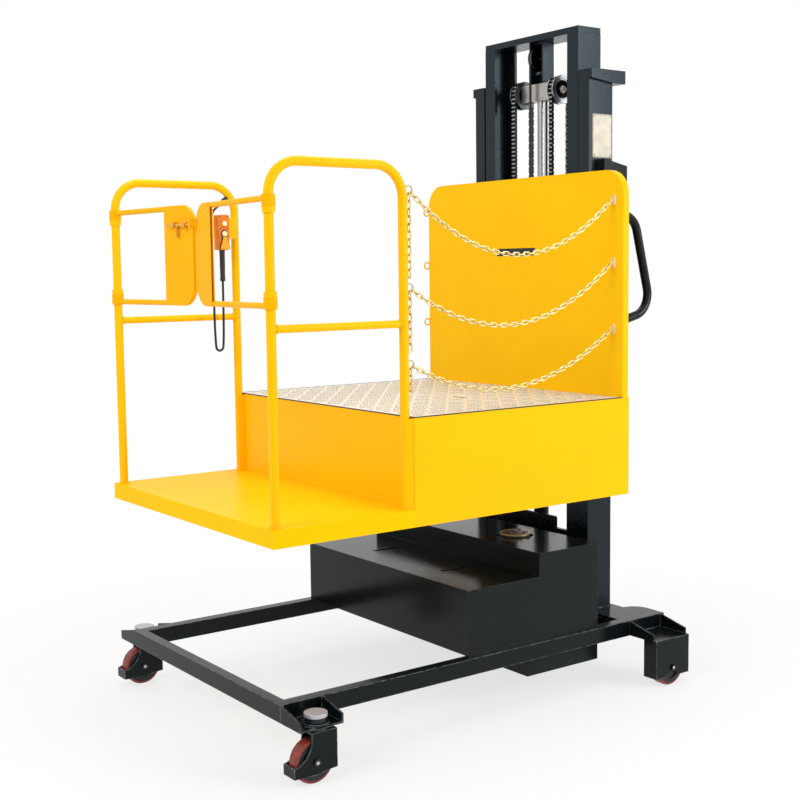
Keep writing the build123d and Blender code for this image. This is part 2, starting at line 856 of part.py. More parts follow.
# Lift cylinder on the mast base plate, with a gland round the rod
foot_top_z = rail_top_z + cylinder_foot
gland_top_z = barrel_top_z + gland_head
with BuildPart() as lift_cylinder:
    post(0, mast_y, rail_top_z, foot_top_z, cylinder_foot_d)
    post(0, mast_y, foot_top_z, barrel_top_z, barrel_d)
    post(0, mast_y, barrel_top_z, gland_top_z, gland_head_d)
    bar((0, port_y, hose_z), (0, mast_y, hose_z), port_d)
    post(0, mast_y, foot_top_z, barrel_top_z, barrel_bore, Mode.SUBTRACT)
    post(0, mast_y, barrel_top_z, gland_top_z, rod_d + 2 * running, Mode.SUBTRACT)
write(lift_cylinder, "lift_cylinder")

with BuildPart() as piston_rod:
    post(0, mast_y, rod_bottom_z, crosshead_z, rod_d)
    post(0, mast_y, rod_bottom_z, rod_bottom_z + piston_length, barrel_bore - 2 * piston_play)
write(piston_rod, "piston_rod")

# Crosshead on the rod, with stub axles for the chain wheels
crosshead_half = crosshead_width / 2
wheel_inner_x = chain_wheel_x - chain_wheel_width / 2
wheel_outer_x = chain_wheel_x + chain_wheel_width / 2
with BuildPart() as crosshead:
    block(
        (-crosshead_half, crosshead_front_y, crosshead_z),
        (crosshead_half, crosshead_rear_y, crosshead_top_z),
    )
    cross_bar(-wheel_outer_x, wheel_outer_x, mast_y, chain_wheel_z, crosshead_pin_d)
write(crosshead, "crosshead")

chain_seat_r = chain_wheel_pitch_r - lift_chain_thickness / 2 - slip
chain_flange_r = chain_wheel_pitch_r + chain_wheel_rim
with BuildPart() as chain_wheels:
    cross_bar(wheel_inner_x, wheel_outer_x, mast_y, chain_wheel_z, 2 * chain_seat_r)
    for flange_x in (wheel_inner_x, wheel_outer_x - chain_wheel_flange):
        cross_bar(flange_x, flange_x + chain_wheel_flange, mast_y, chain_wheel_z, 2 * chain_flange_r)
    bore = crosshead_pin_d + 2 * running
    cross_bar(wheel_inner_x, wheel_outer_x, mast_y, chain_wheel_z, bore, Mode.SUBTRACT)
    mirror(about=Plane.YZ)
write(chain_wheels, "chain_wheels")

# Hanger from the inner top tie down to the crosshead, with a window and a pin for the cable pulley
hanger_half = hanger_width / 2
hanger_rear_y = crosshead_rear_y + hanger_plate
with BuildPart() as crosshead_hanger:
    block((-hanger_half, crosshead_rear_y, crosshead_z), (hanger_half, hanger_rear_y, inner_channel_top_z))
    for cheek_x in (-hanger_half, hanger_half - hanger_plate):
        block(
            (cheek_x, crosshead_rear_y - hanger_depth, crosshead_top_z),
            (cheek_x + hanger_plate, crosshead_rear_y, inner_channel_top_z),
        )
    window_half = pulley_width / 2 + hanger_window_gap
    window_rise = pulley_r + hanger_window_gap
    block(
        (pulley_x - window_half, crosshead_rear_y, pulley_z - window_rise),
        (pulley_x + window_half, hanger_rear_y, pulley_z + window_rise), Mode.SUBTRACT,
    )
    cross_bar(-hanger_half, hanger_half, mast_y, pulley_z, pulley_pin_d)
write(crosshead_hanger, "crosshead_hanger")

with BuildPart() as cable_pulley:
    cross_bar(pulley_x - pulley_width / 2, pulley_x + pulley_width / 2, mast_y, pulley_z, 2 * pulley_r)
    with BuildSketch(Plane(origin=(pulley_x, mast_y, pulley_z), x_dir=(1, 0, 0), z_dir=(0, 0, 1))):
        with Locations((0, pulley_groove_r)):
            Circle(trailing_cable_d / 2 + slip)
        with Locations((0, pulley_groove_r + pulley_r / 2)):
            Rectangle(trailing_cable_d + 2 * slip, pulley_r)
    revolve(axis=Axis((pulley_x, mast_y, pulley_z), (1, 0, 0)), mode=Mode.SUBTRACT)
    bore = pulley_pin_d + 2 * running
    cross_bar(
        pulley_x - pulley_width / 2, pulley_x + pulley_width / 2, mast_y, pulley_z, bore, Mode.SUBTRACT,
    )
write(cable_pulley, "cable_pulley")


# Lift chains and trailing cable: from the lugs behind, over their wheels, down to the carriage beam
def over_wheel(radius, top_z):
    """Path over a wheel, in a side plane."""
    Line((mast_y + radius, chain_lug_top_z), (mast_y + radius, top_z))
    CenterArc((mast_y, top_z), radius, 0, 180)
    Line((mast_y - radius, top_z), (mast_y - radius, chain_beam_top_z))


with BuildPart() as lift_chains:
    for chain_x in (-chain_wheel_x, chain_wheel_x):
        with BuildSketch(side_plane(chain_x)):
            with BuildLine():
                over_wheel(chain_wheel_pitch_r, chain_wheel_z)
            trace(line_width=lift_chain_thickness)
        extrude(amount=lift_chain_width / 2, both=True)
write(lift_chains, "lift_chains")

with BuildLine(side_plane(pulley_x)) as trailing_path:
    over_wheel(pulley_groove_r, pulley_z)
with BuildPart() as trailing_cable:
    tube_along(trailing_path.wire(), trailing_cable_d)
write(trailing_cable, "trailing_cable")

# Push handles: a box on each outer channel with a bent tube behind
handle_x = outer_x + handle_box_out / 2
handle_box_front_y = mast_front_y + handle_box_lead
handle_box_rear_y = handle_box_front_y + handle_box_length
handle_root_y = handle_box_rear_y - handle_sink
with BuildLine(side_plane(handle_x)) as handle_path:
    FilletPolyline(
        (handle_root_y, handle_top_z), (handle_root_y + handle_knee_out, handle_top_z),
        (handle_root_y + handle_heel_out, handle_low_z + handle_heel_rise), (handle_root_y, handle_low_z),
        radius=(handle_knee_bend, handle_heel_bend),
    )


def handle_box_side(inset):
    """Side outline of the box, drawn in by its sheet for the hollow."""
    front = handle_box_front_y + inset
    rear = handle_box_rear_y - inset
    low = handle_box_bottom_z + inset
    top = handle_box_top_z - inset
    Polygon((front, low), (rear, low), (rear, top - handle_box_slope), (front, top), align=None)


with BuildPart() as push_handle:
    with BuildSketch(side_plane(outer_x)):
        handle_box_side(0)
    extrude(amount=handle_box_out)
    tube_along(handle_path.wire(), handle_tube)
    with BuildSketch(side_plane(outer_x)):
        handle_box_side(handle_box_sheet)
    extrude(amount=handle_box_out - handle_box_sheet, mode=Mode.SUBTRACT)
    tube_along(handle_path.wire(), handle_tube - 2 * handle_wall, Mode.SUBTRACT)
write_pair(push_handle, "push_handle")

# Bolts: the cylinder's foot and the boxes of the push handles
handle_bolt_x = outer_x + handle_box_out
handle_bolt_y = handle_box_front_y + handle_box_length / 2
with BuildPart() as bolts:
    with Locations((0, mast_y, foot_top_z + bolt_head / 2)):
        with PolarLocations(foot_bolt_circle / 2, foot_bolt_count, start_angle=45):
            Cylinder(foot_bolt_d / 2, bolt_head)
    for bolt_z in (handle_box_bottom_z + handle_bolt_inset, handle_box_top_z - 2 * handle_bolt_inset):
        for side in (-1, 1):
            cross_bar(
                side * handle_bolt_x, side * (handle_bolt_x + bolt_head), handle_bolt_y, bolt_z, bolt_head_d,
            )
write(bolts, "bolts")

# Carriage: face plate on the deck box, side plates with roller pins, chain beam and stays
stay_z = deck_top_z + back_plate_sheet
stay_top_z = back_plate_top_z - stay_top_drop
chain_beam_rear_y = mast_y - gland_head_d / 2 - chain_beam_clear
carriage_rear_y = inner_front_y + inner_channel_depth - carriage_side_inset
with BuildPart() as carriage_frame:
    block(
        (-carriage_face_half, deck_rear_y, carriage_z),
        (carriage_face_half, carriage_face_rear_y, carriage_z + carriage_height),
    )
    for side in (-1, 1):
        with Locations((side * (carriage_x - carriage_plate / 2), 0, carriage_z + carriage_height / 2)):
            with Locations((0, (carriage_face_rear_y + carriage_rear_y) / 2, 0)):
                Box(carriage_plate, carriage_rear_y - carriage_face_rear_y, carriage_height)
        for rise in carriage_roller_rises:
            pin_from = side * (carriage_x - carriage_plate)
            cross_bar(pin_from, side * carriage_roller_end, mast_y, carriage_z + rise, roller_pin_d)
        stay_x = side * stay_spread / 2
        block(
            (stay_x - stay_width / 2, back_plate_front_y + back_plate_sheet, stay_z),
            (stay_x + stay_width / 2, carriage_face_rear_y, stay_top_z),
        )
    block(
        (-carriage_x + carriage_plate, carriage_face_rear_y, carriage_z + chain_beam_rise),
        (carriage_x - carriage_plate, chain_beam_rear_y, chain_beam_top_z),
    )
write(carriage_frame, "carriage_frame")

# Step: a folded tray, open below, with two ribs
with BuildPart() as platform_step:
    block((-half_width, step_front_y, platform_z), (half_width, deck_front_y, step_top_z))
    step_under_z = step_top_z - platform_sheet
    block(
        (-half_width + platform_sheet, step_front_y + platform_sheet, platform_z),
        (half_width - platform_sheet, deck_front_y - platform_sheet, step_under_z), Mode.SUBTRACT,
    )
    for side in (-1, 1):
        rib_x = side * step_rib_spread / 2
        block(
            (rib_x - step_rib / 2, step_front_y, platform_z),
            (rib_x + step_rib / 2, deck_front_y, step_under_z),
        )
write(platform_step, "platform_step")

# Deck box: four walls with an inward flange under the tread, a ledge for the back plate, and cross beams
deck_wall_x = half_width - platform_sheet
deck_wall_front_y = deck_front_y + platform_sheet
flange_z = tread_seat_z - platform_sheet
with BuildPart() as deck_box:
    block((-half_width, deck_front_y, platform_z), (half_width, deck_rear_y, deck_top_z))
    block(
        (-deck_wall_x, deck_wall_front_y, platform_z), (deck_wall_x, back_plate_rear_y, flange_z),
        Mode.SUBTRACT,
    )
    block(
        (-deck_wall_x + deck_flange, deck_wall_front_y + deck_flange, flange_z),
        (deck_wall_x - deck_flange, back_plate_rear_y - deck_flange, tread_seat_z), Mode.SUBTRACT,
    )
    block(
        (-deck_wall_x, deck_wall_front_y, tread_seat_z), (deck_wall_x, back_plate_front_y, deck_top_z),
        Mode.SUBTRACT,
    )
    for step in (-1, 0, 1):
        beam_y = (deck_front_y + deck_rear_y) / 2 + step * deck_beam_spacing
        block(
            (-deck_wall_x, beam_y - deck_beam_width / 2, tread_seat_z - deck_beam_height),
            (deck_wall_x, beam_y + deck_beam_width / 2, tread_seat_z),
        )
        hollow = deck_beam_width / 2 - platform_sheet
        block(
            (-deck_wall_x, beam_y - hollow, tread_seat_z - deck_beam_height),
            (deck_wall_x, beam_y + hollow, flange_z), Mode.SUBTRACT,
        )
write(deck_box, "deck_box")

# Tread plate let into the deck, with a finger slot
tread_x = deck_wall_x - tread_gap
with BuildPart() as tread_plate:
    block(
        (-tread_x, deck_wall_front_y + tread_gap, tread_seat_z),
        (tread_x, back_plate_front_y - tread_gap, deck_top_z),
    )
    with BuildSketch(Plane.XY.offset(deck_top_z)):
        with Locations((finger_slot_x, deck_front_y + finger_slot_from_front)):
            SlotOverall(finger_slot_length, finger_slot_width)
    extrude(amount=-tread_thickness, mode=Mode.SUBTRACT)
write(tread_plate, "tread_plate")


# Back plate: a folded tray, open behind, with eyes for the chains and rings at its left edge
def plate_outline(inset):
    """Front view of the plate, with its two rounded upper corners."""
    half = back_plate_half - inset
    low = deck_top_z + inset
    top = back_plate_top_z - inset
    with BuildLine() as outline:
        FilletPolyline(
            (-half, low), (-half, top), (half, top), (half, low), radius=back_plate_corner - inset,
        )
        Line((half, low), (-half, low))
    make_face(outline.edges())


plate_eye_x = back_plate_half - plate_eye_inset
plate_eye_y = back_plate_front_y - eye_radius + eye_wire / 2
with BuildPart() as back_plate:
    with BuildSketch(front_plane(back_plate_rear_y)):
        plate_outline(0)
    extrude(amount=back_plate_depth)
    with BuildSketch(front_plane(back_plate_rear_y)):
        plate_outline(back_plate_sheet)
    extrude(amount=back_plate_depth - back_plate_sheet, mode=Mode.SUBTRACT)
    for height in plate_eye_heights:
        eye_z = deck_top_z + height
        with Locations(Location((plate_eye_x, plate_eye_y, eye_z), (0, 90, 0))):
            Torus(eye_radius, eye_wire / 2)
        ring_x = -back_plate_half - eye_wire / 4
        with Locations(Location((ring_x, plate_eye_y, eye_z), (0, 90, 0))):
            Torus(eye_radius, eye_wire / 2)
write(back_plate, "back_plate")

# Guard rails: a bent tube on each side with a mid rail and the gate's hinge collars
def guard(side, extras):
    """The guard on one side; extras adds what only that side carries."""
    with BuildLine(side_plane(side * guard_x)) as path:
        FilletPolyline(
            (guard_front_y, step_top_z), (guard_front_y, guard_top_z), (guard_rear_y, guard_top_z),
            (guard_rear_y, step_top_z), radius=guard_bend,
        )
    mid_z = step_top_z + guard_mid_rise
    mid_from = (side * guard_x, guard_front_y, mid_z)
    mid_to = (side * guard_x, guard_rear_y, mid_z)
    with BuildPart() as rail:
        tube_along(path.wire(), guard_tube)
        bar(mid_from, mid_to, guard_mid_tube)
        collar_z = sleeve_top_z - sleeve_length - slip
        post(side * guard_x, guard_front_y, collar_z - collar_length, collar_z, collar_od)
        low_collar_z = low_sleeve_z + sleeve_length + slip
        post(side * guard_x, guard_front_y, low_collar_z, low_collar_z + collar_length, collar_od)
        extras(side)
        tube_along(path.wire(), guard_tube - 2 * guard_wall, Mode.SUBTRACT)
        bar(mid_from, mid_to, guard_mid_tube - 2 * guard_wall, Mode.SUBTRACT)
    return rail


def chain_eyes(side):
    """Eyes behind the rear post for the safety chains."""
    for height in post_eye_heights:
        with Locations(Location((side * guard_x, eye_y, deck_top_z + height), (0, 90, 0))):
            Torus(eye_radius, eye_wire / 2)


def pendant_fittings(side):
    """Holder plate for the pendant, and the gland for its cable in the rear top bend."""
    face_x = side * guard_x - side * guard_tube / 2
    block(
        (face_x - holder_thickness, guard_rear_y - holder_reach, pendant_z + holder_rise),
        (face_x, guard_rear_y, pendant_z + holder_rise + holder_height),
    )
    bend_y = guard_rear_y - guard_bend
    bend_z = guard_top_z - guard_bend
    gland_y = cos(radians(gland_angle))
    gland_z = sin(radians(gland_angle))
    tip = guard_bend - guard_tube / 2 - gland_length
    bar(
        (side * guard_x, bend_y + tip * gland_y, bend_z + tip * gland_z),
        (side * guard_x, bend_y + guard_bend * gland_y, bend_z + guard_bend * gland_z), gland_d,
    )


write(guard(1, chain_eyes), "guard_rail_right")
write(guard(-1, pendant_fittings), "guard_rail_left")


# Gate leaves: bent tube on two hinge sleeves, with a plate at the tip
def on_leaf(side, reach, z, offset):
    """Point on a gate leaf: reach from the hinge, height, and how far in front of its middle."""
    return tuple(leaf_plane(side).from_local_coords(Vector(-side * reach, z, offset)))


def leaf_frame(side, root, reach):
    """Bent outline of a leaf's tube, from the upper bar round the tip to the lower bar."""
    start = -side * root
    tip = -side * reach
    FilletPolyline(
        (start, gate_top_z), (tip, gate_top_z), (tip, gate_low_z), (start, gate_low_z), radius=gate_corner,
    )


def gate_leaf(side, plate_width):
    """One leaf with its sleeves, plate and, on the right, the keeper for the latch."""
    tip_reach = gate_tip - gate_tube / 2
    plate_root = gate_tip - plate_width
    with BuildLine(leaf_plane(side)) as path:
        leaf_frame(side, gate_root, tip_reach)
    with BuildPart() as leaf:
        tube_along(path.wire(), gate_tube)
        with BuildSketch(leaf_plane(side)):
            with BuildLine():
                leaf_frame(side, plate_root, tip_reach)
                Line((-side * plate_root, gate_low_z), (-side * plate_root, gate_top_z))
            make_face()
        extrude(amount=gate_plate_thickness / 2, both=True)
        if side > 0:
            keeper(side)
        for sleeve_z in (sleeve_top_z - sleeve_length, low_sleeve_z):
            post(side * guard_x, guard_front_y, sleeve_z, sleeve_z + sleeve_length, sleeve_od)
        tube_along(path.wire(), gate_tube - 2 * gate_wall, Mode.SUBTRACT)
        bore = guard_tube + 2 * running
        post(side * guard_x, guard_front_y, step_top_z, sleeve_top_z, bore, Mode.SUBTRACT)
    return leaf


def keeper(side):
    """Loop in front of a leaf's tip that takes the latch bolt."""
    reach = gate_tip - keeper_inset - keeper_length / 2
    half = bolt_d / 2 + keeper_room
    with BuildSketch(leaf_plane(side)) as outside:
        with Locations((-side * reach, latch_z)):
            Rectangle(keeper_length, 2 * (half + keeper_wall))
    extrude(outside.sketch, amount=bolt_offset + half + keeper_wall)
    with BuildSketch(leaf_plane(side).offset(bolt_offset - half)) as opening:
        with Locations((-side * reach, latch_z)):
            Rectangle(keeper_length, 2 * half)
    extrude(opening.sketch, amount=2 * half, mode=Mode.SUBTRACT)


write(gate_leaf(1, gate_plate_right), "gate_leaf_right")
write(gate_leaf(-1, gate_plate_left), "gate_leaf_left")

# Latch on the left leaf: a base with two loops, and a bolt with a hanging handle
latch_end = gate_tip - latch_end_inset
latch_start = latch_end - latch_base_length
latch_seat = gate_plate_thickness / 2
loop_half = bolt_d / 2 + latch_loop_wall
with BuildPart() as latch_housing:
    with BuildSketch(leaf_plane(-1).offset(latch_seat)):
        with Locations((latch_end - latch_base_length / 2, latch_z)):
            RectangleRounded(latch_base_length, latch_base_height, latch_base_corner)
    extrude(amount=latch_base_thickness)
    with BuildSketch(leaf_plane(-1).offset(latch_seat)):
        loops = (latch_start + latch_loop_length / 2, latch_end - latch_loop_length / 2)
        with Locations(*[(reach, latch_z) for reach in loops]):
            Rectangle(latch_loop_length, 2 * loop_half)
    extrude(amount=bolt_offset + loop_half - latch_seat)
    bar(
        on_leaf(-1, latch_start, latch_z, bolt_offset), on_leaf(-1, latch_end, latch_z, bolt_offset),
        bolt_d + 2 * running, Mode.SUBTRACT,
    )
write(latch_housing, "latch_housing")

bolt_tip = gate_tip - bolt_tip_inset
handle_reach = bolt_tip - bolt_handle_from_tip
with BuildPart() as latch_bolt:
    bar(
        on_leaf(-1, bolt_tip - bolt_length, latch_z, bolt_offset),
        on_leaf(-1, bolt_tip, latch_z, bolt_offset), bolt_d,
    )
    bar(
        on_leaf(-1, handle_reach, latch_z, bolt_offset),
        on_leaf(-1, handle_reach, latch_z - bolt_handle_length, bolt_offset), bolt_handle_d,
    )
write(latch_bolt, "latch_bolt")

# Pendant control: a housing with a contact block inside and a shroud below the buttons
pendant_inner_x = pendant_face_x - pendant_wall
button_flange_front_x = pendant_inner_x - slip
button_flange_rear_x = button_flange_front_x - button_flange
contact_x = button_flange_rear_x - button_room
button_heights = {"up": pendant_z + button_up_rise, "down": pendant_z + button_down_rise}
pendant_mid_z = pendant_z + pendant_height / 2
with BuildPart() as pendant_housing:
    with BuildSketch(side_plane(pendant_x)):
        with Locations((pendant_y, pendant_mid_z)):
            RectangleRounded(pendant_width, pendant_height, pendant_corner)
    extrude(amount=pendant_thickness)
    with BuildSketch(side_plane(pendant_x + pendant_wall)):
        with Locations((pendant_y, pendant_mid_z)):
            RectangleRounded(
                pendant_width - 2 * pendant_wall, pendant_height - 2 * pendant_wall,
                pendant_corner - pendant_wall,
            )
    extrude(amount=pendant_thickness - 2 * pendant_wall, mode=Mode.SUBTRACT)
    block(
        (pendant_x + pendant_wall, pendant_y - button_flange_d / 2, button_heights["down"] - button_d),
        (contact_x, pendant_y + button_flange_d / 2, button_heights["up"] + button_d),
    )
    with BuildSketch(side_plane(pendant_face_x)):
        shroud_z = pendant_z + pendant_wall
        Polygon(
            (pendant_y - shroud_low / 2, shroud_z), (pendant_y + shroud_low / 2, shroud_z),
            (pendant_y + shroud_top / 2, shroud_z + shroud_height),
            (pendant_y - shroud_top / 2, shroud_z + shroud_height), align=None,
        )
    extrude(amount=shroud_proud)
    for height in button_heights.values():
        bore = button_d + 2 * running
        cross_bar(pendant_inner_x, pendant_face_x, pendant_y, height, bore, Mode.SUBTRACT)
write(pendant_housing, "pendant_housing")

for name, height in button_heights.items():
    with BuildPart() as button:
        cross_bar(button_flange_rear_x, pendant_face_x + button_proud, pendant_y, height, button_d)
        cross_bar(button_flange_rear_x, button_flange_front_x, pendant_y, height, button_flange_d)
    write(button, f"pendant_button_{name}")

with BuildPart() as pendant_boot:
    with Locations((pendant_x + pendant_thickness / 2, pendant_y, pendant_z - boot_length / 2)):
        Cone(boot_low_d / 2, boot_top_d / 2, boot_length)
write(pendant_boot, "pendant_boot")


# Pendant cable: straight runs joined by arcs as large as the runs allow
def route_radii(points):
    """Radius of each corner of a route, from its shorter run and its turn."""
    runs = [Vector(*b) - Vector(*a) for a, b in zip(points, points[1:])]
    return [
        cable_ease * min(before.length, after.length) / tan(radians(before.get_angle(after) / 2))
        for before, after in zip(runs, runs[1:])
    ]


cable_radii = route_radii(cable_route)
with BuildLine() as cable_path:
    FilletPolyline(*cable_route, radius=cable_radii)
with BuildPart() as pendant_cable:
    tube_along(cable_path.wire(), cable_d)
write(pendant_cable, "pendant_cable")
print("cable radii", [round(radius, 1) for radius in cable_radii])
cable_length = cable_path.wire().length
print("cable length", round(cable_length, 1))
print("cable volume", round(pendant_cable.part.volume), round(cable_length * pi * cable_d**2 / 4))


# Safety chains: welded links, each turned a quarter from the last, that sag between the eyes
def make_link(inner_length):
    """One link lying along X in the XY plane."""
    bend = (chain_inner_width + chain_wire) / 2
    half = (inner_length - chain_inner_width) / 2
    with BuildLine() as path:
        Line((-half, -bend), (half, -bend))
        CenterArc((half, 0), bend, -90, 180)
        Line((half, bend), (-half, bend))
        CenterArc((-half, 0), bend, 90, 180)
    with BuildPart() as link:
        tube_along(path.wire(), chain_wire)
    return link.part


def lay_links(centres, tangents, pitch):
    """Links of one chain, alternately flat and on edge."""
    link = make_link(pitch + chain_play)
    laid = []
    for number, (centre, tangent) in enumerate(zip(centres, tangents)):
        across = (Vector(1, 0, 0) - tangent * tangent.X).normalized()
        facing = tangent.cross(across) if number % 2 == 0 else across
        laid.append(link.moved(Plane(origin=centre, x_dir=tangent, z_dir=facing).location))
    return laid


def hanging_chain(start, end, sag):
    """Links along a sagging parabola between the middles of two eyes."""
    curve = []
    for number in range(chain_curve_samples + 1):
        share = number / chain_curve_samples
        drop = Vector(0, 0, 4 * sag * share * (1 - share))
        curve.append(start + (end - start) * share - drop)
    travel = [0.0]
    for before, after in zip(curve, curve[1:]):
        travel.append(travel[-1] + (after - before).length)
    inside = eye_radius - eye_wire / 2
    usable = travel[-1] - 2 * inside
    count = 2 * round((usable / chain_pitch - 1) / 2) + 1
    pitch = usable / count
    centres = []
    tangents = []
    for number in range(count):
        reach = inside + (number + 0.5) * pitch
        place = next(index for index, length in enumerate(travel) if length >= reach)
        chord = curve[place] - curve[place - 1]
        centres.append(curve[place] - chord.normalized() * (travel[place] - reach))
        tangents.append(chord.normalized())
    return lay_links(centres, tangents, pitch)


def chain_tail(eye, length):
    """Spare links that hang straight down from an eye."""
    down = Vector(0, 0, -1)
    count = round(length / chain_pitch)
    inside = eye_radius - eye_wire / 2
    centres = [eye + down * (inside + (number + 0.5) * chain_pitch) for number in range(count)]
    return lay_links(centres, [down] * count, chain_pitch)


chain_links = []
chain_sizes = zip(post_eye_heights, plate_eye_heights, chain_sags, chain_tail_lengths)
for post_height, plate_height, sag, tail in chain_sizes:
    post_eye = Vector(guard_x, eye_y, deck_top_z + post_height)
    plate_eye = Vector(plate_eye_x, plate_eye_y, deck_top_z + plate_height)
    chain_links += hanging_chain(post_eye, plate_eye, sag)
    chain_links += chain_tail(post_eye, tail)
safety_chains = Compound(chain_links, label="safety_chains")
export_step(safety_chains, "parts/safety_chains.step")
print("chain links", len(chain_links))
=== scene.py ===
"""Looks of the order picker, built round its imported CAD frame."""

import math

import bmesh
import bpy
from mathutils import Matrix, Vector


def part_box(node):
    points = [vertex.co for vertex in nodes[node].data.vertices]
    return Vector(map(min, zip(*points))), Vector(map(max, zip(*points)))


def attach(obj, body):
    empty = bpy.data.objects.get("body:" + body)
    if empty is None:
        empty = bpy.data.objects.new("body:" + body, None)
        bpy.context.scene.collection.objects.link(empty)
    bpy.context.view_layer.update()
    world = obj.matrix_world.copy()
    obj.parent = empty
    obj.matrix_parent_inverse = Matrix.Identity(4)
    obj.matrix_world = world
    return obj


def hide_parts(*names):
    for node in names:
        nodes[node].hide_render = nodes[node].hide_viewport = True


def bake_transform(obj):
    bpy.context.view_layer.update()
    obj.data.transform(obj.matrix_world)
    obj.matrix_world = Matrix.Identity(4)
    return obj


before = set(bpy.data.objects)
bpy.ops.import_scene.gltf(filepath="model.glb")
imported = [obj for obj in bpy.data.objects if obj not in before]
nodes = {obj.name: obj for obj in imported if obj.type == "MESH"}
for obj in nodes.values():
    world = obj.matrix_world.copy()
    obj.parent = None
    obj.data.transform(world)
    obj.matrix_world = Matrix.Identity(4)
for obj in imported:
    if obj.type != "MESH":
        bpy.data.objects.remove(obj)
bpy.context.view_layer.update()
scene = bpy.context.scene
MM = 0.001

# Camera: the photograph's place, angles and lens
camera_place = Vector((3.8385, -2.8394, 1.5566))
camera_yaw = math.radians(53.863)
camera_pitch = math.radians(5.777)
camera_roll = math.radians(-0.691)
camera_lens = 57.636
camera_sensor = 36.0


def camera_turn(yaw, pitch, roll):
    """Rotation of a camera that looks back along its yaw and pitch, with a roll."""
    back = Vector((
        math.sin(yaw) * math.cos(pitch), -math.cos(yaw) * math.cos(pitch), math.sin(pitch),
    ))
    level = Vector((math.cos(yaw), math.sin(yaw), 0.0))
    upright = back.cross(level)
    right = level * math.cos(roll) + upright * math.sin(roll)
    up = upright * math.cos(roll) - level * math.sin(roll)
    return Matrix((right, up, back)).transposed().to_4x4()


camera_data = bpy.data.cameras.new("camera")
camera_data.lens = camera_lens
camera_data.sensor_width = camera_sensor
camera_data.clip_end = 100.0
camera = bpy.data.objects.new("camera", camera_data)
camera.matrix_world = Matrix.Translation(camera_place) @ camera_turn(camera_yaw, camera_pitch, camera_roll)
scene.collection.objects.link(camera)
scene.camera = camera
scene.view_settings.view_transform = "Standard"


# Materials: every one is procedural, in the part's own metres
def srgb(red, green, blue):
    """Linear colour from 0 to 255 display values."""
    shares = [value / 255 for value in (red, green, blue)]
    return tuple(s / 12.92 if s <= 0.04045 else ((s + 0.055) / 1.055) ** 2.4 for s in shares) + (1.0,)


def shade(color, share, lift=0.0):
    """Lighter or darker copy of a colour."""
    return tuple(min(1.0, c * share + lift) for c in color[:3]) + (1.0,)


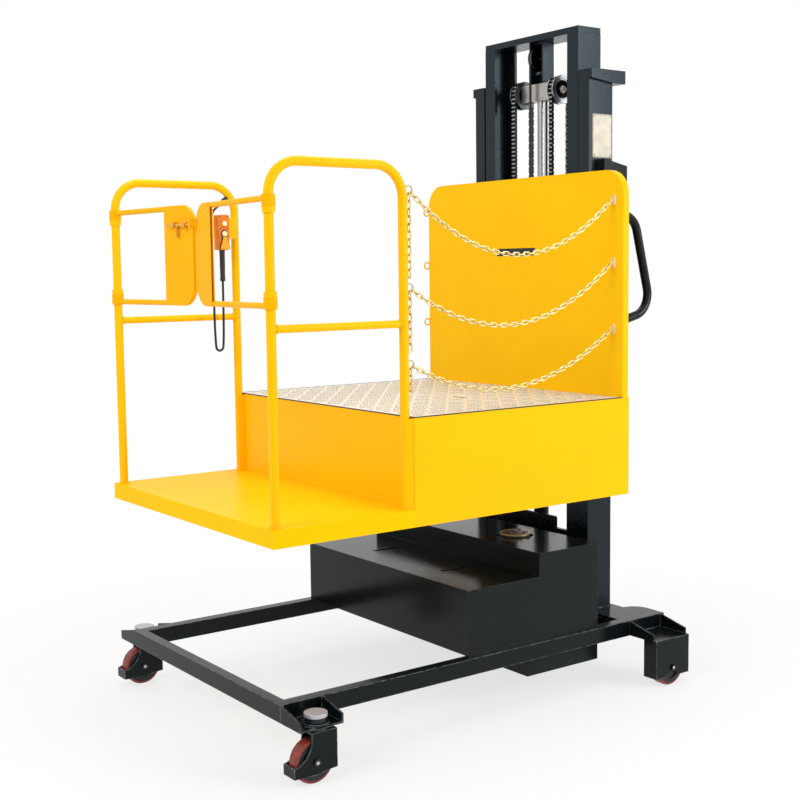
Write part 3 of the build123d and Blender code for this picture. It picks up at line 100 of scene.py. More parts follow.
class Surface:
    """One material and the few node patterns that the finishes are made of."""

    def __init__(self, name, roughness=0.5, metallic=0.0, specular=0.5):
        self.material = bpy.data.materials.new(name)
        self.material.use_nodes = True
        self.tree = self.material.node_tree
        self.shader = self.tree.nodes["Principled BSDF"]
        self.set(roughness=roughness, metallic=metallic)
        self.shader.inputs["Specular IOR Level"].default_value = specular
        self.place = self.node("ShaderNodeTexCoord").outputs["Object"]

    def node(self, kind, inputs=None, **settings):
        made = self.tree.nodes.new(kind)
        for key, value in settings.items():
            setattr(made, key, value)
        for key, value in (inputs or {}).items():
            self.feed(made.inputs[key], value)
        return made

    def feed(self, socket, value):
        if isinstance(value, bpy.types.NodeSocket):
            self.tree.links.new(value, socket)
        else:
            socket.default_value = value

    def set(self, color=None, roughness=None, metallic=None, normal=None):
        sockets = {"Base Color": color, "Roughness": roughness, "Metallic": metallic, "Normal": normal}
        for socket, value in sockets.items():
            if value is not None:
                self.feed(self.shader.inputs[socket], value)

    def noise(self, scale, detail=3.0, rough=0.55, stretch=None):
        """Noise from 0 to 1; stretch scales the place first, for grain that runs one way."""
        place = self.place
        if stretch:
            place = self.node("ShaderNodeMapping", {"Vector": place, "Scale": stretch}).outputs["Vector"]
        made = self.node(
            "ShaderNodeTexNoise", {"Vector": place, "Scale": scale, "Detail": detail, "Roughness": rough},
        )
        return made.outputs["Fac"]

    def cells(self, scale):
        """Random value for each cell of a Voronoi pattern, like zinc spangle."""
        made = self.node("ShaderNodeTexVoronoi", {"Vector": self.place, "Scale": scale})
        return self.node("ShaderNodeSeparateColor", {"Color": made.outputs["Color"]}).outputs["Red"]

    def span(self, value, low, high, to_low=0.0, to_high=1.0):
        """Map a value from one range to another, clamped and eased."""
        made = self.node(
            "ShaderNodeMapRange",
            {"Value": value, "From Min": low, "From Max": high, "To Min": to_low, "To Max": to_high},
            interpolation_type="SMOOTHSTEP",
        )
        return made.outputs["Result"]

    def math(self, operation, first, second=0.0):
        made = self.node("ShaderNodeMath", operation=operation)
        self.feed(made.inputs[0], first)
        self.feed(made.inputs[1], second)
        return made.outputs["Value"]

    def blend(self, amount, first, second):
        made = self.node("ShaderNodeMix", data_type="RGBA")
        for socket, value in (("Factor_Float", amount), ("A_Color", first), ("B_Color", second)):
            self.feed(next(s for s in made.inputs if s.identifier == socket), value)
        return next(s for s in made.outputs if s.identifier == "Result_Color")

    def edges(self, radius, low=0.02, high=0.25):
        """Mask of outer and inner edges, from how far a rounded normal turns away."""
        rounded = self.node("ShaderNodeBevel", {"Radius": radius}, samples=4).outputs["Normal"]
        plain = self.node("ShaderNodeNewGeometry").outputs["Normal"]
        product = self.node("ShaderNodeVectorMath", operation="DOT_PRODUCT")
        self.feed(product.inputs[0], rounded)
        self.feed(product.inputs[1], plain)
        return self.span(self.math("SUBTRACT", 1.0, product.outputs["Value"]), low, high)

    def upward(self, low=0.6, high=0.95):
        """Mask of surfaces that face up, where dust lies."""
        normal = self.node("ShaderNodeNewGeometry").outputs["Normal"]
        height = self.node("ShaderNodeSeparateXYZ", {"Vector": normal}).outputs["Z"]
        return self.span(height, low, high)

    def radial(self, y, z):
        """Distance from an axle along X."""
        parts = self.node("ShaderNodeSeparateXYZ", {"Vector": self.place})
        squares = []
        for axis, centre in (("Y", y), ("Z", z)):
            offset = self.math("SUBTRACT", parts.outputs[axis], centre)
            squares.append(self.math("MULTIPLY", offset, offset))
        return self.math("SQRT", self.math("ADD", *squares))

    def bump(self, height, strength, distance, below=None):
        inputs = {"Height": height, "Strength": strength, "Distance": distance}
        if below:
            inputs["Normal"] = below
        return self.node("ShaderNodeBump", inputs).outputs["Normal"]


def paint(name, color, chip_and_highlight, roughness, peel, wear_and_highlight, specular, tint, rim=2.2 * MM, dust=None, bare=None):
    """Sprayed paint: orange peel, slow changes of tone, light edges that stand for both rubbed paint and a
    painted edge highlight, dust on top, bare zinc beyond a Y.
    """
    s = Surface(name, specular=specular)
    s.shader.inputs["Specular Tint"].default_value = tint
    cloud = s.noise(3.1, 4.0)
    tone = s.blend(s.span(cloud, 0.3, 0.7), color, shade(color, 0.96))
    if dust:
        film = s.math("MULTIPLY", s.upward(), s.span(s.noise(9.0, 6.0, 0.65), 0.42, 0.75, 0.0, dust[1]))
        tone = s.blend(film, tone, dust[0])
    # Light edge colour: rubbed paint, and where it is strong a painted highlight along the edges.
    worn_and_highlight = s.math("MULTIPLY", s.edges(rim), s.span(s.noise(38.0, 5.0, 0.7), 0.36, 0.66))
    tone = s.blend(s.math("MULTIPLY", worn_and_highlight, wear_and_highlight), tone, chip_and_highlight)
    if bare:
        depth = s.node("ShaderNodeSeparateXYZ", {"Vector": s.place}).outputs["Y"]
        tone = s.blend(s.span(depth, bare - 0.2 * MM, bare + 0.2 * MM), tone, srgb(206, 200, 186))
    s.set(color=tone, roughness=s.span(s.noise(55.0, 4.0), 0.3, 0.7, roughness * 0.85, roughness * 1.2))
    wave = s.bump(s.noise(9.0, 1.0), 0.02, 3 * MM)
    s.set(normal=s.bump(s.noise(620.0, 2.0), peel, 0.25 * MM, wave))
    return s.material


def steel(name, color, roughness, grain=(1.0, 1.0, 1.0), stain=None, depth=0.12, metallic=1.0):
    """Bare or plated metal: drawn grain, stains, brighter edges."""
    s = Surface(name, metallic=metallic)
    lines = s.noise(420.0, 3.0, 0.6, grain)
    tone = s.blend(s.span(lines, 0.25, 0.75), color, shade(color, 0.8))
    if stain:
        tone = s.blend(s.span(s.noise(60.0, 6.0, 0.7), 0.45, 0.75, 0.0, stain[1]), tone, stain[0])
    tone = s.blend(s.edges(1.2 * MM), tone, shade(color, 1.35))
    s.set(color=tone, roughness=s.span(lines, 0.2, 0.8, roughness * 0.75, roughness * 1.25))
    s.set(normal=s.bump(lines, depth, 0.1 * MM))
    return s.material


def moulded(name, color, roughness, scale=900.0, depth=0.15, specular=0.35):
    """Moulded plastic or rubber: fine spark-eroded grain and a little tone."""
    s = Surface(name, specular=specular)
    tone = s.blend(s.span(s.noise(26.0, 4.0), 0.3, 0.7), color, shade(color, 0.82))
    tone = s.blend(s.edges(1.0 * MM), tone, shade(color, 1.25, 0.002))
    grain = s.noise(scale, 2.0)
    s.set(color=tone, roughness=s.span(grain, 0.3, 0.7, roughness * 0.85, roughness * 1.15))
    s.set(normal=s.bump(grain, depth, 0.12 * MM))
    return s.material


def wheel_finish(name, y, z, rim):
    """Polyurethane tyre outside the rim's radius, dark painted core inside it."""
    s = Surface(name, specular=0.3)
    reach = s.radial(y, z)
    scuff = s.span(s.noise(70.0, 6.0, 0.7), 0.4, 0.7)
    tyre = s.blend(scuff, srgb(146, 56, 46), srgb(120, 48, 41))
    tread = s.span(reach, 66 * MM, 69 * MM)
    tyre = s.blend(s.math("MULTIPLY", tread, scuff), tyre, srgb(96, 62, 56))
    core = s.blend(s.span(s.noise(40.0, 5.0), 0.35, 0.7), srgb(26, 27, 29), srgb(42, 43, 45))
    outside = s.span(reach, rim - 0.4 * MM, rim + 0.4 * MM)
    s.set(color=s.blend(outside, core, tyre), roughness=s.span(scuff, 0.0, 1.0, 0.3, 0.5))
    s.set(normal=s.bump(s.noise(500.0, 3.0), 0.12, 0.15 * MM))
    return s.material


def turned_finish(name, y, z, rim, bright, dull, hub, shaded_left=None):
    """Turned wheel on an axle along X: a bright rim outside its radius, a dark hub inside, and painted shade
    on the wheel at negative X when a colour for it is given.
    """
    s = Surface(name, metallic=1.0)
    reach = s.radial(y, z)
    rings = s.node("ShaderNodeMath", operation="SINE")
    s.feed(rings.inputs[0], s.math("MULTIPLY", reach, 9000.0))
    turned = s.span(rings.outputs["Value"], -1.0, 1.0)
    tone = s.blend(turned, bright, dull)
    tone = s.blend(s.span(s.noise(90.0, 5.0), 0.5, 0.75, 0.0, 0.5), tone, srgb(70, 66, 62))
    # Painted shade: where X is below zero the wheel takes the given darker colour.
    if shaded_left:
        across = s.node("ShaderNodeSeparateXYZ", {"Vector": s.place}).outputs["X"]
        tone = s.blend(s.span(across, -1 * MM, 1 * MM), shaded_left, tone)
    outside = s.span(reach, rim - 1 * MM, rim + 1 * MM)
    s.set(color=s.blend(outside, hub, tone), roughness=s.span(turned, 0.0, 1.0, 0.28, 0.42))
    s.set(normal=s.bump(turned, 0.08, 0.05 * MM))
    return s.material


YELLOW = srgb(254, 194, 14)
GOLD_TINT = (1.0, 0.72, 0.16, 1.0)
BLUE_TINT = (0.62, 0.82, 1.0, 1.0)
COOL_TINT = (0.86, 0.96, 0.98, 1.0)
yellow_paint = paint("yellow_paint", YELLOW, srgb(255, 212, 70), 0.32, 0.02, 0.12, 0.10, GOLD_TINT)
# Painted light: the step takes a lighter, less orange copy of the yellow paint, for its brightly lit top.
step_paint_lit = paint("step_paint_lit", srgb(254, 200, 10), srgb(255, 214, 70), 0.36, 0.02, 0.12, 0.03, GOLD_TINT)
# Painted shade: the gates take a darker, more orange copy of the yellow paint.
gate_paint_shaded = paint("gate_paint_shaded", srgb(249, 181, 12), srgb(255, 206, 70), 0.34, 0.02, 0.12, 0.06, GOLD_TINT)
guard_paint = paint(
    "guard_paint", YELLOW, srgb(255, 212, 70), 0.32, 0.02, 0.12, 0.18, GOLD_TINT, bare=-0.4008,
)
# The pale edge colour at full strength over a wide rim is mostly a painted highlight along the rounded
# edges.
charcoal_paint = paint(
    "charcoal_paint", srgb(14, 18, 20), srgb(150, 160, 168), 0.18, 0.03, 1.0, 0.18, COOL_TINT,
    rim=6 * MM, dust=(srgb(44, 46, 48), 0.08),
)
# Its pale edge colour is partly rubbed paint and partly a painted highlight along the top edges.
cover_paint = paint(
    "cover_paint", srgb(21, 26, 24), srgb(128, 136, 140), 0.17, 0.03, 0.7, 0.16, COOL_TINT, rim=3 * MM,
)
mast_paint = paint("mast_paint", srgb(18, 24, 26), srgb(96, 104, 112), 0.24, 0.03, 0.4, 0.28, BLUE_TINT)
# Bars and plate are darker and lighter copies of one metal: painted shade on the bars, painted reflection on
# the plate.
tread_alloy_shaded = steel("tread_alloy_shaded", srgb(204, 196, 178), 0.5, stain=(srgb(188, 172, 148), 0.5), metallic=0.35)
tread_base = steel("tread_base", srgb(236, 228, 212), 0.5, stain=(srgb(220, 208, 188), 0.5), metallic=0.5)
crosshead_steel = steel(
    "crosshead_steel", srgb(186, 182, 176), 0.34, (1.0, 1.0, 0.08), (srgb(126, 118, 108), 0.5),
)
roller_steel = steel("roller_steel", srgb(150, 150, 150), 0.36, (0.1, 1.0, 1.0), (srgb(60, 54, 48), 0.8))
chain_steel = steel("chain_steel", srgb(38, 38, 40), 0.40, stain=(srgb(20, 19, 19), 0.8))
# Painted highlight: bright steel for the plate ends at the pins, where the chain's crests glint.
chain_crest_highlight = steel("chain_crest_highlight", srgb(186, 184, 180), 0.30, stain=(srgb(120, 116, 110), 0.4))
rod_chrome = steel("rod_chrome", srgb(186, 184, 182), 0.16, (1.0, 1.0, 0.03), depth=0.03)
cap_steel = steel("cap_steel", srgb(198, 196, 194), 0.42, stain=(srgb(168, 164, 162), 0.5), metallic=0.5)
motor_grey = steel("motor_grey", srgb(104, 94, 94), 0.40, stain=(srgb(66, 60, 60), 0.5), metallic=0.6)
brass_plate = steel("brass_plate", srgb(196, 178, 128), 0.34, stain=(srgb(150, 128, 84), 0.5), metallic=0.7)
latch_gold = steel("latch_gold", srgb(238, 174, 46), 0.3, stain=(srgb(178, 112, 34), 0.5), metallic=0.4)
black_rubber = moulded("black_rubber", srgb(44, 40, 39), 0.55, 700.0)
cable_sheath = moulded("cable_sheath", srgb(30, 32, 34), 0.45, 500.0)
case_plastic = moulded("case_plastic", srgb(40, 42, 44), 0.5)
pendant_plastic = moulded("pendant_plastic", srgb(236, 128, 8), 0.38, specular=0.12)
pendant_light = moulded("pendant_light", srgb(248, 176, 18), 0.36, specular=0.12)
cream_plastic = moulded("cream_plastic", srgb(252, 226, 170), 0.3)
dark_plastic = moulded("dark_plastic", srgb(38, 34, 32), 0.34)
pale_plate = moulded("pale_plate", srgb(222, 214, 196), 0.5, 300.0, 0.05)
dark_plate = moulded("dark_plate", srgb(30, 30, 30), 0.42, 300.0, 0.05)


def zinc_finish(name, pale, dull, stain, metallic):
    """Galvanised steel: spangle, dull patches and a fine bump."""
    s = Surface(name, metallic=metallic)
    tone = s.blend(s.cells(260.0), pale, dull)
    tone = s.blend(s.span(s.noise(45.0, 5.0), 0.5, 0.72, 0.0, 0.6), tone, stain)
    s.set(color=tone, roughness=s.span(s.noise(120.0, 4.0), 0.3, 0.7, 0.28, 0.5))
    s.set(normal=s.bump(s.noise(800.0, 2.0), 0.1, 0.1 * MM))
    return s.material


zinc = zinc_finish("zinc", srgb(214, 212, 206), srgb(176, 175, 171), srgb(140, 134, 124), 0.9)
# The yellow tint of this zinc is a painted reflection of the yellow deck round the safety chains.
zinc_with_painted_yellow = zinc_finish("zinc_with_painted_yellow", srgb(234, 212, 152), srgb(212, 188, 128), srgb(178, 152, 100), 0.75)


# Mesh helpers: each adds a form to a bmesh, in metres
def mm(pairs):
    """Pairs of millimetres as pairs of metres."""
    return [(a * MM, b * MM) for a, b in pairs]


def frame_at(origin, axis, side=None):
    """Matrix with its Z along an axis at a point, and its X near a given side."""
    z = Vector(axis).normalized()
    guide = Vector(side) if side else (Vector((1, 0, 0)) if abs(z.x) < 0.9 else Vector((0, 1, 0)))
    x = (guide - z * guide.dot(z)).normalized()
    turned = Matrix((x, z.cross(x), z)).transposed().to_4x4()
    return Matrix.Translation(Vector(origin)) @ turned


def skin(bm, rings, close=True, cap=True):
    """Join rings of points with quads; close wraps each ring, cap fills both ends. Gives the sides."""
    rows = [[bm.verts.new(p) for p in ring] for ring in rings]
    sides = []
    for low, high in zip(rows, rows[1:]):
        count = len(low)
        for i in range(count if close else count - 1):
            j = (i + 1) % count
            sides.append(bm.faces.new((low[i], low[j], high[j], high[i])))
    if cap:
        bm.faces.new(list(reversed(rows[0])))
        bm.faces.new(rows[-1])
    return sides


def lathe(bm, profile, origin, axis, count=32):
    """Turn (radius, height) pairs about an axis."""
    place = frame_at(origin, axis)
    rings = []
    for radius, height in profile:
        turn = [math.tau * i / count for i in range(count)]
        rings.append([place @ Vector((radius * math.cos(t), radius * math.sin(t), height)) for t in turn])
    skin(bm, rings)


def prism(bm, outline, place, depth, edge=0.0):
    """Extrude an outline along its Z, with a chamfer round both ends. Gives the sides."""
    middle = Vector((sum(p[0] for p in outline), sum(p[1] for p in outline))) / len(outline)

    def ring(height, inset):
        points = []
        for p in outline:
            arm = Vector(p) - middle
            reach = max(arm.length - inset, arm.length * 0.2)
            spot = middle + arm.normalized() * reach
            points.append(place @ Vector((spot.x, spot.y, height)))
        return points

    if edge:
        rings = [ring(0.0, edge), ring(edge, 0.0), ring(depth - edge, 0.0), ring(depth, edge)]
    else:
        rings = [ring(0.0, 0.0), ring(depth, 0.0)]
    return skin(bm, rings)


def rounded_rectangle(width, height, radius, steps=5):
    """Outline of a rectangle with round corners."""
    points = []
    corners = ((1, 1, 0), (-1, 1, 90), (-1, -1, 180), (1, -1, 270))
    for sx, sy, start in corners:
        for i in range(steps + 1):
            turn = math.radians(start + 90 * i / steps)
            points.append((
                sx * (width / 2 - radius) + radius * math.cos(turn),
                sy * (height / 2 - radius) + radius * math.sin(turn),
            ))
    return points


def tube(bm, points, radius, count=12, cap=True, ripple=0.0, wave=4 * MM):
    """Round tube through points, with an even frame; ripple swells it as a weld bead does."""
    points = [Vector(p) for p in points]
    tangents = []
    for i in range(len(points)):
        ahead = points[min(i + 1, len(points) - 1)] - points[max(i - 1, 0)]
        tangents.append(ahead.normalized())
    side = tangents[0].orthogonal().normalized()
    rings = []
    travel = 0.0
    for i, (point, tangent) in enumerate(zip(points, tangents)):
        side = (side - tangent * side.dot(tangent)).normalized()
        other = tangent.cross(side)
        if i:
            travel += (point - points[i - 1]).length
        grown = radius * (1.0 + ripple * math.sin(math.tau * travel / wave))
        turns = [math.tau * k / count for k in range(count)]
        rings.append([point + (side * math.cos(t) + other * math.sin(t)) * grown for t in turns])
    skin(bm, rings, cap=cap)


def spaced(start, end, gap):
    """Points along a straight line, about a gap apart."""
    start, end = Vector(start), Vector(end)
    count = max(2, int((end - start).length / gap))
    return [start.lerp(end, i / count) for i in range(count + 1)]


def arc(centre, radius, x_axis, y_axis, start, end, count):
    """Points on an arc between two angles in degrees."""
    centre, x_axis, y_axis = Vector(centre), Vector(x_axis), Vector(y_axis)
    turns = [math.radians(start + (end - start) * i / count) for i in range(count + 1)]
    return [centre + (x_axis * math.cos(t) + y_axis * math.sin(t)) * radius for t in turns]


def finish_mesh(name, bm, material, smooth_angle=35.0):
    """Turn a bmesh into an object with soft shading below an angle."""
    bmesh.ops.recalc_face_normals(bm, faces=bm.faces)
    mesh = bpy.data.meshes.new(name)
    limit = math.radians(smooth_angle)
    for edge in bm.edges:
        edge.smooth = len(edge.link_faces) == 2 and edge.calc_face_angle(0.0) < limit
    for face in bm.faces:
        face.smooth = True
    bm.to_mesh(mesh)
    bm.free()
    mesh.materials.append(material)
    piece = bpy.data.objects.new(name, mesh)
    scene.collection.objects.link(piece)
    return piece


def ride(piece, body):
    """Fix a piece to a body."""
    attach(piece, body)
    return piece


def add(name, bm, material, body, smooth_angle=35.0):
    """Make a piece from a bmesh and fix it to a body."""
    return ride(finish_mesh(name, bm, material, smooth_angle), body)


# Pendant cable: the CAD route's points as the control points of one smooth spline
cable_route = [
    (-509.0, -492.8, 1523.5),
    (-509.0, -492.8, 1279.4),
    (-501.7, -509.0, 1261.0),
    (-491.3, -529.5, 1261.0),
    (-484.0, -545.4, 1279.4),
    (-490.0, -544.0, 1750.0),
    (-517.0, -527.0, 1784.0),
    (-545.0, -491.0, 1804.77),
    (-545.0, -465.08, 1825.02),
]
cable_diameter = 9.0


def cable_curve(name, route, diameter):
    """A NURBS curve with the route's points as its control points."""
    data = bpy.data.curves.new(name, "CURVE")
    data.dimensions = "3D"
    data.bevel_depth = diameter / 2 * MM
    data.bevel_resolution = 5
    data.resolution_u = 16
    spline = data.splines.new("NURBS")
    spline.points.add(len(route) - 1)
    for point, place in zip(spline.points, route):
        point.co = (*(Vector(place) * MM), 1.0)
    spline.order_u = 3
    spline.use_endpoint_u = True
    piece = bpy.data.objects.new(name, data)
    scene.collection.objects.link(piece)
    return piece


cable = cable_curve("pendant_cable_line", cable_route, cable_diameter)
cable.data.materials.append(cable_sheath)
ride(cable, "platform")
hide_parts("pendant_cable")

# Lift chains: leaf chain of plates and pins, from the rear lugs over the chain wheels to the carriage
lift_chain_xs = (-107.5, 107.5)
lift_wheel_y = 673.5
lift_wheel_z = 2249.0
lift_wheel_r = 45.0
lift_front_z = 815.0
lift_rear_z = 1600.0
leaf_pitch = 15.875
leaf_plate = 2.3
leaf_end_r = 6.5
leaf_waist = 4.6
leaf_rows = ((-8.7, -2.9, 2.9, 8.7), (-5.8, 0.0, 5.8))
leaf_pin_r = 2.6
leaf_pin_half = 10.4
leaf_pin_edge = 0.5
leaf_crest = 2.8


def leaf_outline(length):
    """Outline of a chain plate between two pins, along its X."""
    points = []
    for centre, start in ((length / 2, -105), (-length / 2, 75)):
        for i in range(11):
            turn = math.radians(start + 210 * i / 10)
            points.append((centre + leaf_end_r * math.cos(turn), leaf_end_r * math.sin(turn)))
        points.append((0.0, leaf_waist if start < 0 else -leaf_waist))
    return points


def leaf_chain(bm, x, pins):
    """Plates between neighbouring pins, in two rows that alternate, and the pins themselves."""
    for number, (low, high) in enumerate(zip(pins, pins[1:])):
        middle, along = (low + high) / 2, (high - low).normalized()
        outline = leaf_outline((high - low).length)
        for offset in leaf_rows[number % 2]:
            spot = Vector((x + offset - leaf_plate / 2, middle.x, middle.y)) * MM
            place = frame_at(spot, (1, 0, 0), (0, along.x, along.y))
            sides = prism(bm, mm(outline), place, leaf_plate * MM)
            for face in sides:
                along_plate = abs((place.inverted() @ face.calc_center_median()).x)
                # Faces near each plate end take the second material, the painted highlight.
                if abs(along_plate - (high - low).length / 2 * MM) < leaf_crest * MM:
                    face.material_index = 1
    for pin in pins:
        spot = Vector((x - leaf_pin_half, pin.x, pin.y)) * MM
        ends = [
            (leaf_pin_r * 0.8, 0.0), (leaf_pin_r, leaf_pin_edge),
            (leaf_pin_r, 2 * leaf_pin_half - leaf_pin_edge), (leaf_pin_r * 0.8, 2 * leaf_pin_half),
        ]
        lathe(bm, mm(ends), spot, (1, 0, 0), 8)


def leaf_pins(start, end):
    """Pin places on a straight run, at about the chain's pitch."""
    count = round((Vector(end) - Vector(start)).length / leaf_pitch)
    return [Vector(start).lerp(Vector(end), i / count) for i in range(count + 1)]


def chain_piece(name, pins):
    """Both chains along the same pins, as one piece."""
    bm = bmesh.new()
    for x in lift_chain_xs:
        leaf_chain(bm, x, pins)
    piece = finish_mesh(name, bm, chain_steel)
    piece.data.materials.append(chain_crest_highlight)
    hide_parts("lift_chains")
    return piece


front_y, rear_y = lift_wheel_y - lift_wheel_r, lift_wheel_y + lift_wheel_r
leaf_wrap = round(math.pi * lift_wheel_r / leaf_pitch)
over = [
    Vector((lift_wheel_y + lift_wheel_r * math.cos(t), lift_wheel_z + lift_wheel_r * math.sin(t)))
    for t in (math.pi * i / leaf_wrap for i in range(leaf_wrap + 1))
]
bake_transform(chain_piece("lift_chain_rear", leaf_pins((rear_y, lift_rear_z), (rear_y, lift_wheel_z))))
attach(chain_piece("lift_chain_wrap", over), "inner_mast")
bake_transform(chain_piece("lift_chain_front", leaf_pins((front_y, lift_wheel_z), (front_y, lift_front_z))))

# Trailing cable over its pulley
pulley_x, pulley_z, pulley_r, trail_r = -15.0, 2381.0, 43.0, 5.0
trail_step = 20 * MM


def trail_piece(name, points):
    """One length of the trailing cable."""
    bm = bmesh.new()
    tube(bm, points, trail_r * MM, 14)
    piece = finish_mesh(name, bm, cable_sheath)
    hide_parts("trailing_cable")
    return piece


trail_front, trail_rear = lift_wheel_y - pulley_r, lift_wheel_y + pulley_r
trail_ends = {
    "front": [Vector((pulley_x, trail_front, z)) * MM for z in (pulley_z, lift_front_z)],
    "rear": [Vector((pulley_x, trail_rear, z)) * MM for z in (lift_rear_z, pulley_z)],
}
trail_over = arc(
    Vector((pulley_x, lift_wheel_y, pulley_z)) * MM, pulley_r * MM, (0, 1, 0), (0, 0, 1), 0, 180, 24,
)
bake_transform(trail_piece("trailing_cable_rear", spaced(*trail_ends["rear"], trail_step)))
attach(trail_piece("trailing_cable_wrap", trail_over), "inner_mast")
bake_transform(trail_piece("trailing_cable_front", spaced(*trail_ends["front"], trail_step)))

# Tread: raised bars in groups of five, turned a quarter from group to group
tread_low, tread_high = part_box("tread_plate")
tread_turn = math.radians(51.0)
tread_cell = 62 * MM
bar_length, bar_width, bar_height = 46 * MM, 7.0 * MM, 1.9 * MM
bar_gap = 11.4 * MM
bar_profile = (
    (1.0, -0.2 * MM), (0.94, 0.45 * bar_height), (0.72, 0.85 * bar_height), (0.4, bar_height),
)
bar_margin = 8 * MM
tread_reach = 14
slot_low, slot_high = Vector((0.100, 0.097)), Vector((0.220, 0.141))


def tread_bar(bm, centre, along):
    """One lens-shaped bar with a rounded top."""
    across = Vector((-along.y, along.x))
    rings = []
    for share, rise in bar_profile:
        ring = []
        for i in range(10):
            turn = math.tau * i / 10
            spot = centre + along * (bar_length / 2 - bar_width * (1 - share) / 2) * math.cos(turn)
            spot += across * bar_width / 2 * share * math.sin(turn)
            ring.append(Vector((spot.x, spot.y, tread_high.z + rise)))
        rings.append(ring)
    skin(bm, rings)


def tread_pattern():
    """Bars over the whole plate, clear of its edges and of the finger slot."""
    bm = bmesh.new()
    ahead = Vector((-math.sin(tread_turn), math.cos(tread_turn)))
    beside = Vector((math.cos(tread_turn), math.sin(tread_turn)))
    middle = Vector(((tread_low.x + tread_high.x) / 2, (tread_low.y + tread_high.y) / 2))
    for i in range(-tread_reach, tread_reach + 1):
        for j in range(-tread_reach, tread_reach + 1):
            along, step = (ahead, beside) if (i + j) % 2 else (beside, ahead)
            cell = middle + ahead * (i * tread_cell) + beside * (j * tread_cell)
            for k in range(-2, 3):
                centre = cell + step * (k * bar_gap)
                ends = [centre + along * bar_length / 2, centre - along * bar_length / 2]
                inside = all(
                    tread_low.x + bar_margin < p.x < tread_high.x - bar_margin
                    and tread_low.y + bar_margin < p.y < tread_high.y - bar_margin for p in ends
                )
                on_slot = any(
                    slot_low.x < p.x < slot_high.x and slot_low.y < p.y < slot_high.y
                    for p in (*ends, centre)
                )
                if inside and not on_slot:
                    tread_bar(bm, centre, along)
    add("tread_bars", bm, tread_alloy_shaded, "platform", 50.0)


tread_pattern()

# Dark strips over the deck's top edges as a painted shadow of the gap round the tread, and a dark plate in
# the hollow under the tread's finger slot as painted shade
deck_low, deck_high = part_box("deck_box")
shadow_strip_drop, shadow_strip_deep, shadow_strip_proud = 2.6 * MM, 7.0 * MM, 0.6 * MM
shadow_strip_round, shadow_strip_edge = 1 * MM, 0.3 * MM
shadow_strip_rear = tread_high.y
shadow_strip_base = tread_high.z - shadow_strip_drop
# Painted shadow: dark strips along the tread's sides and front, where the gap round it lies in shade.
bm = bmesh.new()
for sx in (-1, 1):
    shadow_strip_x = sx * (deck_high.x + shadow_strip_proud - shadow_strip_deep / 2)
    prism(
        bm, rounded_rectangle(shadow_strip_deep, shadow_strip_rear - deck_low.y, shadow_strip_round),
        Matrix.Translation((shadow_strip_x, (shadow_strip_rear + deck_low.y) / 2, shadow_strip_base)),
        shadow_strip_drop + shadow_strip_proud, shadow_strip_edge,
    )
prism(
    bm, rounded_rectangle(2 * (deck_high.x + shadow_strip_proud), shadow_strip_deep, shadow_strip_round),
    Matrix.Translation((0.0, deck_low.y - shadow_strip_proud + shadow_strip_deep / 2, shadow_strip_base)),
    shadow_strip_drop + shadow_strip_proud, shadow_strip_edge,
)
add("deck_edge_shadow_strip", bm, dark_plate, "platform")
# Painted shade: a dark plate just under the tread's top, so the finger slot reads as a shaded hollow.
bm = bmesh.new()
slot_centre = (slot_low + slot_high) / 2
slot_shade_length, slot_shade_width, slot_shade_round = 89 * MM, 17 * MM, 8 * MM
slot_shade_drop, slot_shade_thick = 3 * MM, 2.4 * MM
prism(
    bm, rounded_rectangle(slot_shade_length, slot_shade_width, slot_shade_round),
    Matrix.Translation((*slot_centre, tread_high.z - slot_shade_drop)), slot_shade_thick, shadow_strip_edge,
)
add("finger_slot_shade_plate", bm, dark_plate, "platform")


# Weld beads where the frames join
def ring_points(centre, axis, radius, count=48):
    """Closed circle of points round an axis."""
    place = frame_at(centre, axis)
    turns = [math.tau * i / count for i in range(count + 1)]
    return [place @ Vector((radius * math.cos(t), radius * math.sin(t), 0.0)) for t in turns]


def weld_piece(name, runs, radius, material, body):
    """Beads along several runs of points, with the ripple of a hand weld."""
    bm = bmesh.new()
    for run in runs:
        tube(bm, run, radius * MM, 8, ripple=0.4 / radius, wave=5 * MM)
    add(name, bm, material, body, 60.0)


def line(start, end):
    """Points of a straight bead between two places in millimetres."""
    return spaced(Vector(start) * MM, Vector(end) * MM, 1.25 * MM)


guard_x, guard_front, guard_rear = 545.0, -905.0, -416.3
step_top, guard_mid = 787.0, 1387.0
deck_front, deck_top = -401.0, 1088.0
post_weld_r, rail_weld_r, bead_r = 16.2, 13.0, 2.6
guard_runs = []
for x in (-guard_x, guard_x):
    for y in (guard_front, guard_rear):
        guard_runs.append(ring_points(Vector((x, y, step_top + 1.5)) * MM, (0, 0, 1), post_weld_r * MM))
    for y in (guard_front + 16.0, guard_rear - 16.0):
        guard_runs.append(ring_points(Vector((x, y, guard_mid)) * MM, (0, 1, 0), rail_weld_r * MM))
weld_piece("guard_welds", guard_runs, bead_r, yellow_paint, "platform")
bm = bmesh.new()
for x in (-guard_x, guard_x):
    out = math.copysign(1.0, x)
    for reach, foot in ((28.0 * out, 14.0 * out), (-24.0 * out, -14.0 * out)):
        outline = [
            (x + math.copysign(11.8, reach), guard_rear - 8.6), (x + reach, deck_front - 0.3),
            (x + reach, deck_front + 0.3), (x + foot, deck_front + 0.3),
        ]
        place = Matrix.Translation((0.0, 0.0, (step_top - 0.5) * MM))
        prism(bm, mm(outline), place, (deck_top - 5.0 - step_top) * MM)
add("post_fillets", bm, yellow_paint, "platform")

